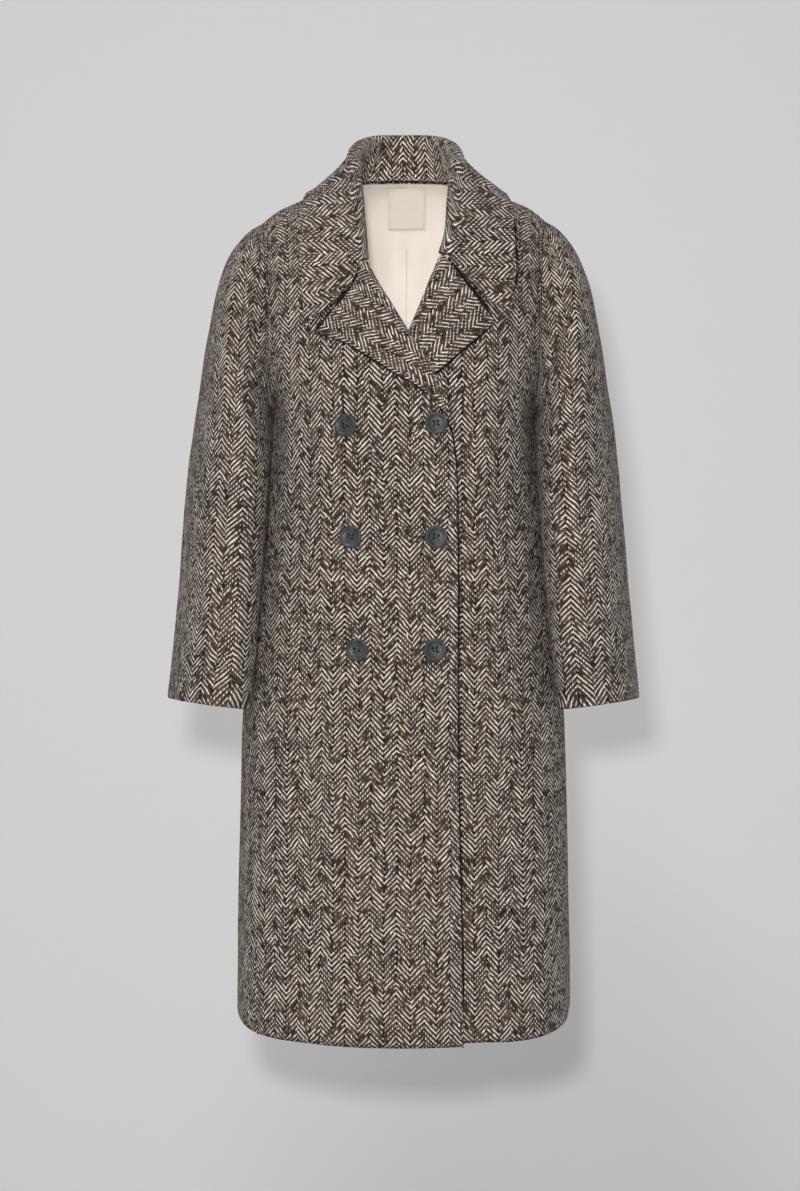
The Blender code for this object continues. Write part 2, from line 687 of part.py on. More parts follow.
# ------------------------------------------------------------------ sleeves
def armhole(front):
    """Points from the shoulder point down to the underarm, along the front or the back."""
    if front:
        heights = [row["outer_z"] for row in reversed(FRONT_ROWS) if row["outer_z"] >= UNDERARM_Z]
        return [front_point(LEFT, look_up(FRONT_OUTER_EDGE, "z", "x", z), z) for z in heights]
    levels = [row for row in BACK_ROWS if row["edge_z"] >= UNDERARM_Z]
    return [Vector((row["edge_x"], 0.0 if row["wraps_forward"]
                    else back_surface(row["edge_x"], row["edge_z"]), row["edge_z"])) for row in levels]


def length_fractions(points):
    lengths = [0.0]
    for a, b in zip(points, points[1:]):
        lengths.append(lengths[-1] + (b - a).length)
    return [length / lengths[-1] for length in lengths]


def sleeve_rows(side, front):
    """From the armhole down; each row runs from the outer seam to the inner one."""
    rim = armhole(front)
    fractions = length_fractions(rim)
    rows = [[point + Vector((ARMHOLE_GAP, 0, 0)) for point in rim]]
    for ring in SLEEVE:
        outer = Vector((ring["out_x"], ring["out_y"], ring["out_z"]))
        inner = Vector((ring["in_x"], ring["in_y"], ring["in_z"]))
        centre = (outer + inner) / 2
        half = (outer - inner) / 2
        seam = math.radians(ring["seam_deg"])
        row = []
        for t in fractions:
            angle = mix(seam, math.pi, t) if front else mix(seam, -math.pi, t)
            depth = ring["front"] if angle >= 0 else ring["back"]
            forward = Vector((-ring["lean"], -1, 0)) * depth
            row.append(centre + half * math.cos(angle) + forward * math.sin(angle))
        rows.append(row)
    forward = -1 if front else 1
    for row in rows:
        row[0] += Vector((0, forward * SEAM_GAP, 0))
        row[-1] += Vector((0, forward * UNDERARM_TRIM, 0))
    return [[Vector((side * p.x, p.y, p.z)) for p in row] for row in rows]


def make_sleeve(side, front, material):
    rows = sleeve_rows(side, front)
    if (side == LEFT) != front:
        rows = [list(reversed(row)) for row in rows]
    name = f"sleeve_{SIDE_NAME[side]}_{'front' if front else 'back'}"
    return cloth_object(name, rows, material)


# ------------------------------------------------------------------ trim
def make_welt(side, material):
    """An upright pocket welt, lying on its front."""
    rows = []
    for r in range(WELT_ROWS + 1):
        z = mix(WELT_LINE[-1]["z"], WELT_LINE[0]["z"], r / WELT_ROWS)
        middle = look_up(WELT_LINE, "z", "x", z)
        columns = [middle + WELT_WIDTH * (c / WELT_COLUMNS - 0.5) for c in range(WELT_COLUMNS + 1)]
        row = [front_point(side, x, z) for x in columns]
        rows.append(list(reversed(row)) if side == LEFT else row)
    return cloth_object(f"pocket_welt_{SIDE_NAME[side]}", moved(rows, CLOTH + LAYER_GAP), material)


def make_button(spec, material):
    """A four-hole button with a raised rim, lying on the top front."""
    name = f"button_{SIDE_NAME[spec['side']]}_{spec['row']}"
    mesh = bpy.data.meshes.new(name)
    mesh.from_pydata([(row["radius"] * BUTTON_RADIUS, 0, row["height"] * BUTTON_HEIGHT)
                      for row in BUTTON_OUTLINE],
                     [(i, i + 1) for i in range(len(BUTTON_OUTLINE) - 1)], [])
    mesh.materials.append(material)
    button = bpy.data.objects.new(name, mesh)
    coat.objects.link(button)
    turn = button.modifiers.new("turned", "SCREW")
    turn.steps = turn.render_steps = BUTTON_SIDES
    turn.use_merge_vertices = True
    turn.merge_threshold = 0.00001
    holes = bpy.data.objects[HOLE_CUTTER]
    cut = button.modifiers.new("thread_holes", "BOOLEAN")
    cut.operation = "DIFFERENCE"
    cut.object = holes.copy()
    cut.object.name = f"{name}_holes"
    cutters.objects.link(cut.object)
    x = -spec["x"]
    step = 0.004
    base = front_point(RIGHT, x, spec["z"])
    across = front_point(RIGHT, x - step, spec["z"]) - front_point(RIGHT, x + step, spec["z"])
    upward = front_point(RIGHT, x, spec["z"] + step) - front_point(RIGHT, x, spec["z"] - step)
    normal = across.cross(upward).normalized()
    turn_to = normal.to_track_quat("Z", "Y")
    for piece in (button, cut.object):
        piece.rotation_mode = "QUATERNION"
        piece.rotation_quaternion = turn_to
        piece.location = base + normal * BUTTON_GAP
    return button


def make_hole_cutter():
    """Four short rods on a square, one mesh."""
    shape = bmesh.new()
    for sx in (-0.5, 0.5):
        for sy in (-0.5, 0.5):
            rod = bmesh.ops.create_cone(shape, cap_ends=True, segments=8, radius1=HOLE_RADIUS,
                                        radius2=HOLE_RADIUS, depth=4 * BUTTON_HEIGHT)
            place = Vector((sx * HOLE_SPACING, sy * HOLE_SPACING, 0))
            bmesh.ops.translate(shape, verts=rod["verts"], vec=place)
    mesh = bpy.data.meshes.new(HOLE_CUTTER)
    shape.to_mesh(mesh)
    shape.free()
    cutter = bpy.data.objects.new(HOLE_CUTTER, mesh)
    cutters.objects.link(cutter)
    return cutter


# ------------------------------------------------------------------ building the coat
for leftover in list(bpy.data.objects):
    bpy.data.objects.remove(leftover)

coat = bpy.data.collections.new(COAT)
cutters = bpy.data.collections.new("cutters")
for group in (coat, cutters):
    bpy.context.scene.collection.children.link(group)

tweed = plain_material("tweed", (0.20, 0.17, 0.149), 0.9)
satin = plain_material("cream_satin", (0.78, 0.71, 0.60), 0.45)
woven = plain_material("woven_label", (0.82, 0.77, 0.67), 0.6)
horn = plain_material("charcoal_horn", (0.06, 0.061, 0.062), 0.4)

make_back(tweed)
make_lining(satin)
make_label(woven)
make_collar(tweed)
for wearer_side in (RIGHT, LEFT):
    make_front(wearer_side, tweed)
    make_lapel(wearer_side, tweed)
    make_welt(wearer_side, tweed)
    for is_front in (True, False):
        make_sleeve(wearer_side, is_front, tweed)
make_hole_cutter()
for button_spec in BUTTONS:
    make_button(button_spec, horn)
for cutter_object in cutters.objects:
    cutter_object.hide_render = True
    cutter_object.display_type = "WIRE"
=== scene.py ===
"""The overcoat's visual model: tweed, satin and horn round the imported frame. Metres, +Z up.

The coat's form comes from the same tables as its solids, on finer grids, with the folds of worn
cloth added. They describe the wearer's left half, with x growing away from the middle. "side"
is +1 for the wearer's left and -1 for the wearer's right, whose front is the top layer.

Every cloth piece is a grid of points, its outer face, with a UV map called "fabric" in metres
of cloth: u runs across the herringbone's stripes and v along them.
"""
import math

import bmesh
import bpy
from mathutils import Matrix, Vector, noise


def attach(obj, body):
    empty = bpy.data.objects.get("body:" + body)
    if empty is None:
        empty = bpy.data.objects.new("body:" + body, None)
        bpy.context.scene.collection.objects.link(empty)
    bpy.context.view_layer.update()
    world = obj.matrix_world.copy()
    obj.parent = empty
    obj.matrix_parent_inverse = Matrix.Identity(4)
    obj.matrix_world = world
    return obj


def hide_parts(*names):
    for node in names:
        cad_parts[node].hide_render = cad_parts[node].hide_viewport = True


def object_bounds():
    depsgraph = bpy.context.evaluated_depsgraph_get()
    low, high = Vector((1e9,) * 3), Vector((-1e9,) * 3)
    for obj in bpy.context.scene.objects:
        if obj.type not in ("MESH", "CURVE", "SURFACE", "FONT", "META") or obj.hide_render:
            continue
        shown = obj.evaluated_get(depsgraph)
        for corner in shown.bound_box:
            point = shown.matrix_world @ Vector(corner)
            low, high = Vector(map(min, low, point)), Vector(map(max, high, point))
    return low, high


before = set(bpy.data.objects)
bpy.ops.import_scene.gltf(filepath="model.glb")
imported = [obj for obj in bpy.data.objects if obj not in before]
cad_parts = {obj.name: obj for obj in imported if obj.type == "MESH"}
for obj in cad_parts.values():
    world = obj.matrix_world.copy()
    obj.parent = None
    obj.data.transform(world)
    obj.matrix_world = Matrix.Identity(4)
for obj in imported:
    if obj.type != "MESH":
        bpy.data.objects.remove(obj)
cad_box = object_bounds()

LEFT, RIGHT = 1, -1
SIDE_NAME = {LEFT: "left", RIGHT: "right"}

# ------------------------------------------------------------------ driving dimensions
CLOTH = 0.0026            # wall of the tweed
DOUBLE_CLOTH = 0.0034     # and of the collar and lapels, which are two layers
LINING_CLOTH = 0.0008
SIDE_SEAM_TRIM = 0.0002   # clearance at the side seams
ARMHOLE_GAP = 0.0002      # and at the armholes
FOLD_GAP = 0.0022         # clearance behind a lapel's fold
LAYER_GAP = 0.0010        # clearance between layers that lie on each other
OVERLAP_GAP = 0.0018      # clearance between the two fronts
SHOULDER_DROP = 0.200     # height over which a shoulder rounds into the chest
SHOULDER_SQUARENESS = 1.8
NECK_HALF_WIDTH = 0.078
NECK_BACK = 0.083         # how far the back neckline stands behind the origin
UNDERARM_Z = -0.295
STRAIGHTENING_Z = -0.200    # from here down to the underarm the back's rows get straighter

OVERLAP_FULL = 0.088      # the top layer stands fully proud of the under layer inside this x
OVERLAP_START = 0.120     # and not at all outside this one
OVERLAP_TOP = -0.190      # the layers start to part at this height
GORGE_Z = -0.110          # and have parted at this one
LAPEL_ROOM = 0.0042       # more room where the under lapel lies between the layers
LAPEL_ROOM_FULL = 0.060   # that room is whole inside this x
LAPEL_ROOM_START = 0.105  # and starts at this one,
LAPEL_ROOM_BOTTOM = -0.380    # and it starts at this height
LAPEL_ROOM_TOP = -0.320   # and is whole at this one
LOWER_SHOULDER = 0.004    # the wearer's right shoulder hangs this much lower
LOWERED_X = (0.05, 0.18)    # from where to where off the middle that drop comes in,
LOWERED_Z = (-0.30, -0.06)  # and from which height to which

COLLAR_SKEW = 0.006       # how far the collar's outer edge sits towards the wearer's left
FOLD_SKEW = 0.002         # and how far its fold does
GORGE_GAP = 0.0012        # slit between the collar and the lapel
GORGE_BEND = {LEFT: 0.0, RIGHT: 0.014}    # how far the gorge dips below a straight line
COLLAR_CORNER = {LEFT: (0.1255, -0.1850), RIGHT: (0.1165, -0.1935)}    # x and z
FRONT_SUBROWS = 4         # grid rows between each two of a table's rows
BACK_SUBROWS = 4
COLLAR_SUBROWS = 9
SLEEVE_SUBROWS = 7
SLEEVE_SUBCOLUMNS = 3
FRONT_COLUMNS = 36
COLUMN_CROWDING = 1.12
HALF_BACK_COLUMNS = 40
NECK_COLUMNS = 15
FOLD_STEPS = 8            # facets round a fold of the lapels or of the collar
LEAF_STEPS = 22           # and from the fold to the outer edge
LAPEL_ROWS = 40
COLLAR_STAND_STEPS = 7
LEAF_CROWN = 0.0010       # how far the middle of a lapel swells
CROWN_RISES = (3, 6)      # and how steeply that comes in from its foot and from its gorge
STAND_LIFT = 0.0004       # the collar's stand starts this far above the neck seam
STAND_FOOT = 0.0012       # height of the short stand at the collar's front ends
STAND_SET_IN = 1.3        # how far in from the seam the stand starts, in cloths
SKEW_STATIONS = {"edge": (1, 5), "fold": (0, 2)}    # between these the collar's skews come in
LEAF_TURN_STATION = 3.7    # the leaf's weave turns level round its middle at this station
LEAF_LEVEL_STATIONS = (2.4, 5.0)    # where it starts to turn and where it is level
LEAF_PULL = 0.35          # how straight down the leaf starts, as a share of its length
LEAF_REST_DROP = 0.004    # the leaf lies on the coat from this far below the coat's top line
STAND_EVEN = (0.25, 0.5)    # from where to where the stand's stripes fall back in with the leaf's
GORGE_BEND_AT = 0.2       # the bend's place along the gorge, from the fold,
GORGE_BEND_FADE = 4       # and how fast it goes out down the lapel, as a power
CORNER_SPREAD = (0.15, 1.0)    # where along the gorge the collar's end parts from the lapel's tip
LEAF_SETTLING = 1.5       # how late a lapel comes down on the front, as a power
LAPEL_EDGE_PROUD = 0.0042
COAT_LENGTH = 1.25
FALL_STEPS = 60
GRAIN_X = 0.100           # the fronts' stripes are plumb here
SLEEVE_GIRTH = 0.50
SLEEVE_LENGTH = 0.60
SLEEVE_SEAM_OVERLAP = 0.0016
SHOULDER_SEAM_OVERLAP = 0.0020
SLEEVE_FLATNESS = 0.19     # how much less a sleeve measures round its sides than a round one

BUTTON_RADIUS = 0.014
BUTTON_HEIGHT = 0.0046
BUTTON_SIDES = 40
BUTTON_GAP = 0.0008       # clearance behind a button
FRAME_STEP = 0.006        # how far off a button's middle the front's slope is taken
HOLE_RADIUS = 0.0012
HOLE_SPACING = 0.0044
THREAD = 0.00030          # a thread's radius
THREADS_APART = 0.8       # how far each of a pair of threads is from the hole's middle, and how
THREAD_SUNK = 0.2         # deep it lies in the button, in its radiuses
STITCH_HEIGHTS = (1.5, 0.4)    # how high a buttonhole's stitches start and end, in thread radiuses
SLIT_HALF_WIDTH = 0.7     # and how far from its middle they start
BUTTONHOLE_LENGTH = 0.029
BUTTONHOLE_WIDTH = 0.0034
BUTTONHOLE_THREAD = 0.00039    # its thread's radius
BUTTONHOLE_STITCHES = 34
WELT_WIDTH = 0.036
WELT_PROUD = 0.0022
WELT_ROWS = 30
WELT_COLUMNS = 8
WELT_PATTERN_STEP = (0.006, 0.003)    # how far its weave is off the front's
LABEL_WIDTH = 0.048
LABEL_CENTRE_X = 0.0046
LABEL_TOP_Z = 0.0085
LABEL_HEIGHT = 0.050
LABEL_STEPS = 14
LABEL_LIFT = 0.0004
LABEL_SLACK = 0.0012      # how far its middle stands out,
LABEL_UNEVEN = 0.6        # how much that changes from place to place, as a share,
LABEL_LUMPS = 3           # and how often across it
LABEL_STITCH = 0.0030     # from one stitch to the next,
LABEL_STITCH_ENDS = (0.15, 0.75)    # where in that the stitch starts and ends,
LABEL_STITCH_LIFT = 0.00076    # and how far it lies in from the lining
LABEL_STITCH_INSET = 0.0022
LINING_SET_IN = 2         # how many of the back's columns the lining leaves free at each side
LINING_DRAPE = 0.0030     # how far the lining stands off the back
LINING_TOP_LIFT = 0.0036    # the lining is felled on over the foot of the collar's stand
LINING_TOP_FORWARD = 0.0030    # and lies this far in front of it
LINING_SEAM_X = 0.0040
LINING_SEAM_WIDTH = 0.0035
LINING_SEAM_DEPTH = 0.0016
LINING_SEAM_TOP = -0.064
LINING_SEAM_END = -1.010
LINING_SEAM_LIFT = 0.0005
SEAM_STITCH = 0.0032      # from one stitch to the next,
SEAM_STITCH_ENDS = (0.1, 0.9)    # where in that the stitch starts and ends,
SEAM_STRAY = 0.0006       # how far it strays to the side, and over what length
SEAM_STRAY_LENGTH = 0.025

# The weave, in metres of cloth.
FABRIC = "fabric"         # the UV map's name
STRIPE = 0.0157           # width of one herringbone stripe
CHEVRON_PITCH = 0.0064    # from one cream line to the next, along the stripe
CHEVRON_SLOPE = 1.06
OUT_OF_STEP = 0.80        # how far, in pitches, one stripe may be out of step with the next
YARN = 0.0017
YARN_STEP = 0.35          # how far the lines go in steps from yarn to yarn
LAPEL_WEAVE = {RIGHT: 1.10, LEFT: 1.03}    # how much finer the lapels' weave looks
WEAVE_SHIFT = {           # where in the cloth each piece was cut, so that no two look the same
    "front": (0.0, 0.0),
    "back": (0.11, 0.23),
    "lapel": (0.31, 0.17),
    "collar": (0.47, 0.29),
    "sleeve": (0.61, 0.41),
}
SLEEVE_SHIFT_STEP = (0.2, 0.1)    # from a sleeve's back half to its front half, and side to side
LOOSE_PATCH = 0.030       # size of the places where the yarns wander wildly
WANDER = (                # size of a swing, its reach, and how much further where it is loose
    (0.060, 0.0060, 0.0),
    (0.012, 0.0022, 0.0060),
    (0.005, 0.0008, 0.0020),
)
DASH = 0.0060
SWELLING = 0.0035         # length along a cream line over which its width changes
BEAD = 0.0029
BEADED_PATCH = 0.020
SLUB = 0.0040
FIBRE = 0.0011
VALLEY_SIDES = (0.0002, 0.0018)    # how near to a stripe's edge the valley's painted shade is darkest, and where it ends
VALLEY_SHADE = 0.10       # how dark that painted shade is there
VALLEY_RELIEF = 0.0014    # how near to the edge the cloth starts to dip
DYE_PATCH = 0.16          # sizes of the places with more dye and with a cooler tone,
COOL_PATCH = 0.03
DYED_LENGTH = 0.010       # and lengths along a line over which its dye
SHADED_LENGTH = 0.007     # and its brightness change
SATIN_TWILL = 0.0012      # from one ridge to the next
LABEL_RIBS = (0.0009, 0.0007)
# how dark the painted shade between a thread's plies is, as a share of its colour
PLY_SHADE = 0.45
CREAM_PHASE = 0.25
CREAM_HALF_WIDTH = 0.155
CREAM_YARN = (1.0, 0.91, 0.82)
COOL_TINT = (0.38, 0.34, 0.38)
GROUND = (
    (0.00, (0.0060, 0.0038, 0.0027)),
    (0.10, (0.0070, 0.0045, 0.0032)),
    (0.22, (0.060, 0.041, 0.029)),
    (0.42, (0.0050, 0.0030, 0.0021)),
    (0.51, (0.060, 0.041, 0.029)),
    (0.64, (0.148, 0.101, 0.071)),
    (0.76, (0.0070, 0.0044, 0.0031)),
    (0.87, (0.120, 0.082, 0.058)),
    (1.00, (0.0060, 0.0038, 0.0027)),
)
SATIN_LIGHT = (0.92, 0.85, 0.765)
SATIN_DEEP = (0.85, 0.77, 0.675)
LABEL_LIGHT = (0.83, 0.775, 0.70)
LABEL_DEEP = (0.77, 0.71, 0.63)
HORN_DARK = (0.019, 0.020, 0.021)
HORN_PALE = (0.048, 0.049, 0.050)
THREAD_TAN = (0.52, 0.41, 0.30)
THREAD_BROWN = (0.045, 0.034, 0.027)
THREAD_DARK = (0.016, 0.0165, 0.017)
# near-black of the tubes of painted shade along the edges
PAINTED_SHADE_WOOL = (0.014, 0.009, 0.0065)
PAINTED_SHADE_LINE_SHARE = 0.9       # a painted shade line's usual thickness, as a share of its radius,
PAINTED_SHADE_LINE_WOBBLE = 0.011    # length over which it changes
PAINTED_SHADE_LINE_TAPER = 0.012     # and over which it runs out at its ends
PAPER = (0.82, 0.82, 0.82)
PAPER_SHADE = (0.805, 0.805, 0.805)

# The studio. The coat hangs in the air between the camera and the wall.
CAMERA_AT = (-0.0044, -3.400, -0.513)
PICTURE_HEIGHT = 1.48875  # how much of the coat's middle plane the picture takes in
SENSOR = 36.0
WALL_Y = 1.60
FLOOR_BELOW = 0.75        # the floor is this far below the hem
ROOM_WIDTH = 7.0
WALL_TOP = 2.6
FLOOR_FRONT = -5.0        # the floor runs out to here, past the camera
SWEEP_RADIUS = 0.15
SWEEP_STEPS = 12
AMBIENT = 0.375            # the even light all round
BACKGROUND_GREY = 0.63
# A lamp's share is the brightness that it gives a white surface facing it, at the coat.
LAMPS = (
    # name    place                     aims at            size  share
    ("key",   (-0.075, -3.40, -0.350),  (0.0, 0.0, -0.50), 0.10, 0.44),
    ("fill",  (-0.300, -1.75, 1.350),   (0.0, 0.0, -0.40), 0.50, 0.385),
    ("neck",  (-0.015, -0.105, -0.105), (0.0, 0.14, -0.12), 0.13, 0.33),
    ("back",  (0.000, 1.45, -0.450),    (0.0, 0.0, -0.45), 1.00, 0.45),
    ("right", (2.600, 0.00, -0.100),    (0.0, 0.0, -0.30), 1.20, 0.02),
    ("left",  (-2.600, 0.00, -0.100),   (0.0, 0.0, -0.30), 1.20, 0.02),
)


def table(columns, *rows):
    """A list of dictionaries: one for each row, with the column names as keys."""
    names = columns.split()
    return [dict(zip(names, row)) for row in rows]


# Level cross-sections of the coat: half its width, and how far it reaches forwards and back.
BODY = table(
    "z      half_width  front_depth  back_depth  squareness",
    (0.020,   0.216,     0.130,       0.134,      2.3),
    (-0.045,  0.206,     0.137,       0.141,      2.3),
    (-0.100,  0.197,     0.143,       0.147,      2.3),
    (-0.200,  0.181,     0.148,       0.152,      2.5),
    (-0.270,  0.167,     0.149,       0.153,      2.8),
    (-0.295,  0.160,     0.149,       0.153,      2.9),
    (-0.340,  0.163,     0.149,       0.153,      2.8),
    (-0.450,  0.176,     0.150,       0.152,      2.5),
    (-0.550,  0.188,     0.152,       0.152,      2.4),
    (-0.661,  0.201,     0.155,       0.154,      2.3),
    (-0.800,  0.206,     0.159,       0.158,      2.3),
    (-1.000,  0.2105,    0.164,       0.164,      2.3),
    (-1.080,  0.2110,    0.165,       0.165,      2.3),
)

# The line along the top of the coat, from the middle of the neck to the shoulder point.
TOP_LINE = table(
    "x z",
    (0.000,  0.0165), (0.040,  0.0140), (0.078,  0.0035), (0.128, -0.0175), (0.156, -0.0292),
    (0.176, -0.0445), (0.220, -0.0900),
)

# The outer edge of a front: the side seam up to the underarm, then the armhole.
FRONT_OUTER_EDGE = table(
    "z x",
    (-1.0400, 0.1750), (-0.9000, 0.1750), (-0.7800, 0.1750), (-0.6600, 0.1750), (-0.5500, 0.1730),
    (-0.4500, 0.1690), (-0.3700, 0.1628), (-0.3300, 0.1610), (-0.2950, 0.1600), (-0.2920, 0.1604),
    (-0.2850, 0.1622), (-0.2700, 0.1650), (-0.2300, 0.1680), (-0.2000, 0.1680), (-0.1700, 0.1680),
    (-0.1400, 0.1685), (-0.1100, 0.1695), (-0.0850, 0.1710), (-0.0650, 0.1730), (-0.0520, 0.1748),
    (-0.0445, 0.1760),
)

# The inner edge of a front below the lapel. Below zero it is past the middle of the coat.
FRONT_INNER_EDGE = {
    RIGHT: table("z x", (-1.0535, -0.0725), (-0.90, -0.0700), (-0.78, -0.0675), (-0.66, -0.0660),
                 (-0.45, -0.0655), (-0.37, -0.0640), (-0.32, -0.0580), (-0.296, -0.0455)),
    LEFT: table("z x", (-1.0500, -0.0780), (-0.90, -0.0780), (-0.78, -0.0780), (-0.66, -0.0780),
                (-0.45, -0.0770), (-0.37, -0.0720), (-0.34, -0.0620), (-0.318, -0.0520)),
}

# The hem's height round the coat: 0 degrees is the middle of the front, 180 of the back.
HEM = table(
    "around z",
    (  0, -1.0535), ( 30, -1.0520), ( 50, -1.0490), ( 65, -1.0425), ( 80, -1.0355), ( 92, -1.0340),
    (130, -1.0400), (180, -1.0450),
)
HEM_FROM_Z = -0.90        # the panels' rows bend towards that line from here down
UNDER_HEM_LIFT = 0.003    # the under layer's hem is this much higher,
UNDER_HEM_X = (0.085, 0.14)    # from where to where off the middle that lift goes out

# Rows of the fronts, hem to neck point: the heights where each crosses the two edges.
FRONT_ROWS = table(
    "inner_z outer_z",
    (-1.0535, -1.0400), (-0.9000, -0.9000), (-0.7800, -0.7800), (-0.6600, -0.6600), (-0.5500, -0.5500),
    (-0.4500, -0.4500), (-0.3700, -0.3700), (-0.3250, -0.3300), (-0.2960, -0.2950), (-0.2720, -0.2865),
    (-0.2483, -0.2700), (-0.2315, -0.2500), (-0.2148, -0.2300), (-0.1957, -0.2050), (-0.1700, -0.1750),
    (-0.1400, -0.1420), (-0.1000, -0.1100), (-0.0750, -0.0850), (-0.0420, -0.0650), (-0.0120, -0.0520),
    ( 0.0008, -0.0465), ( 0.0035, -0.0445),
)

# Lapels: where the cloth folds back, where the lapel's lower edge lies, and how far the fold
# stands proud of the front. Bottom row first; the last row is the gorge, its end the tip.
LAPEL = {
    RIGHT: table(
        "fold_z   fold_x   edge_z   edge_x   proud",
        (-0.2937, -0.0518, -0.2860, -0.0400, 0.0060),
        (-0.2660, -0.0445, -0.2735, -0.0290, 0.0062),
        (-0.2483, -0.0386, -0.2628, -0.0155, 0.0064),
        (-0.2148, -0.0183, -0.2457, 0.0145, 0.0068),
        (-0.1957, -0.0052, -0.2340, 0.0323, 0.0074),
        (-0.1599, 0.0164, -0.2145, 0.0643, 0.0082),
        (-0.1360, 0.0307, -0.2045, 0.0858, 0.0086),
        (-0.1097, 0.0438, -0.1981, 0.1084, 0.0088),
    ),
    LEFT: table(
        "fold_z   fold_x   edge_z   edge_x   proud",
        (-0.3120, -0.0550, -0.3080, -0.0430, 0.0047),
        (-0.2850, -0.0400, -0.2930, -0.0200, 0.0047),
        (-0.2480, -0.0220, -0.2710, 0.0100, 0.0047),
        (-0.2170, -0.0060, -0.2480, 0.0370, 0.0047),
        (-0.1957, 0.0052, -0.2330, 0.0550, 0.0050),
        (-0.1599, 0.0205, -0.2150, 0.0760, 0.0062),
        (-0.1290, 0.0325, -0.1985, 0.0950, 0.0080),
        (-0.1025, 0.0434, -0.1838, 0.1115, 0.0088),
    ),
}

# The front neckline, under the collar, from the gorge to the neck point.
NECKLINE = table(
    "z x",
    (-0.1120, 0.0590), (-0.0750, 0.0645), (-0.0420, 0.0680), (-0.0120, 0.0725), ( 0.0035, 0.0780),
)

# The collar from the middle of the back to the front: the way it faces (0 is straight back,
# 90 sideways), the seam it stands on, the top of its roll and its outer edge.
COLLAR = table(
    "station turn neck_x neck_y neck_z   fold_x fold_y  fold_z  edge_x edge_y  edge_z",
    (0,      0,   0.000, 0.083, 0.0165,  0.000, 0.086,  0.0735, 0.000, 0.129, -0.0140),
    (1,      32,  0.040, 0.073, 0.0140,  0.036, 0.076,  0.0715, 0.066, 0.121, -0.0160),
    (2,      62,  0.068, 0.040, 0.0085,  0.057, 0.043,  0.0600, 0.109, 0.078, -0.0160),
    (3,      92,  0.078, 0.000, 0.0035,  0.064, 0.000,  0.0390, 0.122, 0.004, -0.0125),
    (4,      120, 0.074, -0.036, -0.006, 0.061, -0.038, 0.0120, 0.128, -0.050, -0.0360),
    (5,      146, 0.066, -0.087, -0.042, 0.0545, -0.089, -0.0350, 0.129, -0.096, -0.0800),
    (6,      160, 0.060, -0.113, -0.075, 0.0500, -0.117, -0.0760, 0.129, -0.121, -0.1350),
)
LAST_STATION = COLLAR[-1]["station"]
FOLD_RADIUS = table("station radius", (0, 0.0070), (2, 0.0070), (4, 0.0062), (6, 0.0057))

# Back rows, neck to hem: heights in the middle and at the edge, and the edge's x. After the
# underarm the edge is the side seam, in front of the coat's widest line.
BACK_ROWS = table(
    "middle_z  edge_z   edge_x  evenly_spaced  wraps_forward",
    (0.0165,  -0.0445,  0.1760, 1.0, False),
    (0.0145,  -0.0465,  0.1757, 1.0, False),
    (0.0090,  -0.0520,  0.1748, 1.0, False),
    (-0.0050, -0.0650,  0.1730, 0.9, False),
    (-0.0280, -0.0850,  0.1710, 0.8, False),
    (-0.0600, -0.1100,  0.1695, 0.6, False),
    (-0.1000, -0.1400,  0.1680, 0.4, False),
    (-0.1400, -0.1700,  0.1670, 0.2, False),
    (-0.1850, -0.2000,  0.1665, 0.1, False),
    (-0.2250, -0.2300,  0.1665, 0.0, False),
    (-0.2620, -0.2700,  0.1645, 0.0, False),
    (-0.2860, -0.2865,  0.1612, 0.0, False),
    (-0.3060, -0.2950,  0.1600, 0.0, True),
    (-0.3360, -0.3300,  0.1610, 0.0, True),
    (-0.3700, -0.3700,  0.1628, 0.0, True),
    (-0.4500, -0.4500,  0.1690, 0.0, True),
    (-0.5500, -0.5500,  0.1730, 0.0, True),
    (-0.6600, -0.6600,  0.1750, 0.0, True),
    (-0.7800, -0.7800,  0.1750, 0.0, True),
    (-0.9000, -0.9000,  0.1750, 0.0, True),
    (-1.0450, -1.0400,  0.1750, 0.0, True),
)

# Rings down a sleeve after the armhole: its outer and inner points, how far it reaches forwards
# and back of the line between them, its lean and where its outer seam lies.
SLEEVE = table(
    "out_x   out_y    out_z    in_x    in_y    in_z    front  back   lean  seam_deg",
    (0.1920, 0.000, -0.0545, 0.1635, 0.000, -0.3000, 0.080, 0.082, 0.00, 0),
    (0.2134, -0.001, -0.0795, 0.1650, -0.004, -0.3040, 0.088, 0.086, 0.01, 6),
    (0.2290, -0.004, -0.1160, 0.1665, -0.013, -0.3090, 0.093, 0.088, 0.04, 12),
    (0.2405, -0.009, -0.1655, 0.1675, -0.026, -0.3180, 0.094, 0.086, 0.07, 18),
    (0.2530, -0.019, -0.2595, 0.1685, -0.046, -0.3440, 0.091, 0.080, 0.10, 25),
    (0.2610, -0.028, -0.3295, 0.1695, -0.060, -0.3850, 0.088, 0.076, 0.12, 30),
    (0.2695, -0.041, -0.4195, 0.1735, -0.074, -0.4600, 0.085, 0.072, 0.13, 35),
    (0.2780, -0.056, -0.5245, 0.1775, -0.086, -0.5500, 0.082, 0.069, 0.13, 40),
    (0.2890, -0.072, -0.6385, 0.1865, -0.099, -0.6510, 0.079, 0.065, 0.13, 44),
)

BUTTONS = table(
    "side   row        x        z",
    (RIGHT, "top",    -0.0687, -0.3100),
    (RIGHT, "middle", -0.0628, -0.4433),
    (RIGHT, "bottom", -0.0556, -0.5779),
    (LEFT,  "top",     0.0385, -0.3076),
    (LEFT,  "middle",  0.0385, -0.4433),
    (LEFT,  "bottom",  0.0373, -0.5779),
)
# Half a button's cross-section, as shares of its radius and height.
BUTTON_OUTLINE = table("radius height", (0.0, 0.62), (0.66, 0.62), (0.80, 1.0), (0.93, 0.93),
                       (1.0, 0.55), (0.93, 0.12), (0.80, 0.0), (0.0, 0.0))
# The middle line of a pocket welt.
WELT_LINE = table("z x", (-0.584, 0.1410), (-0.499, 0.1380), (-0.414, 0.1345))

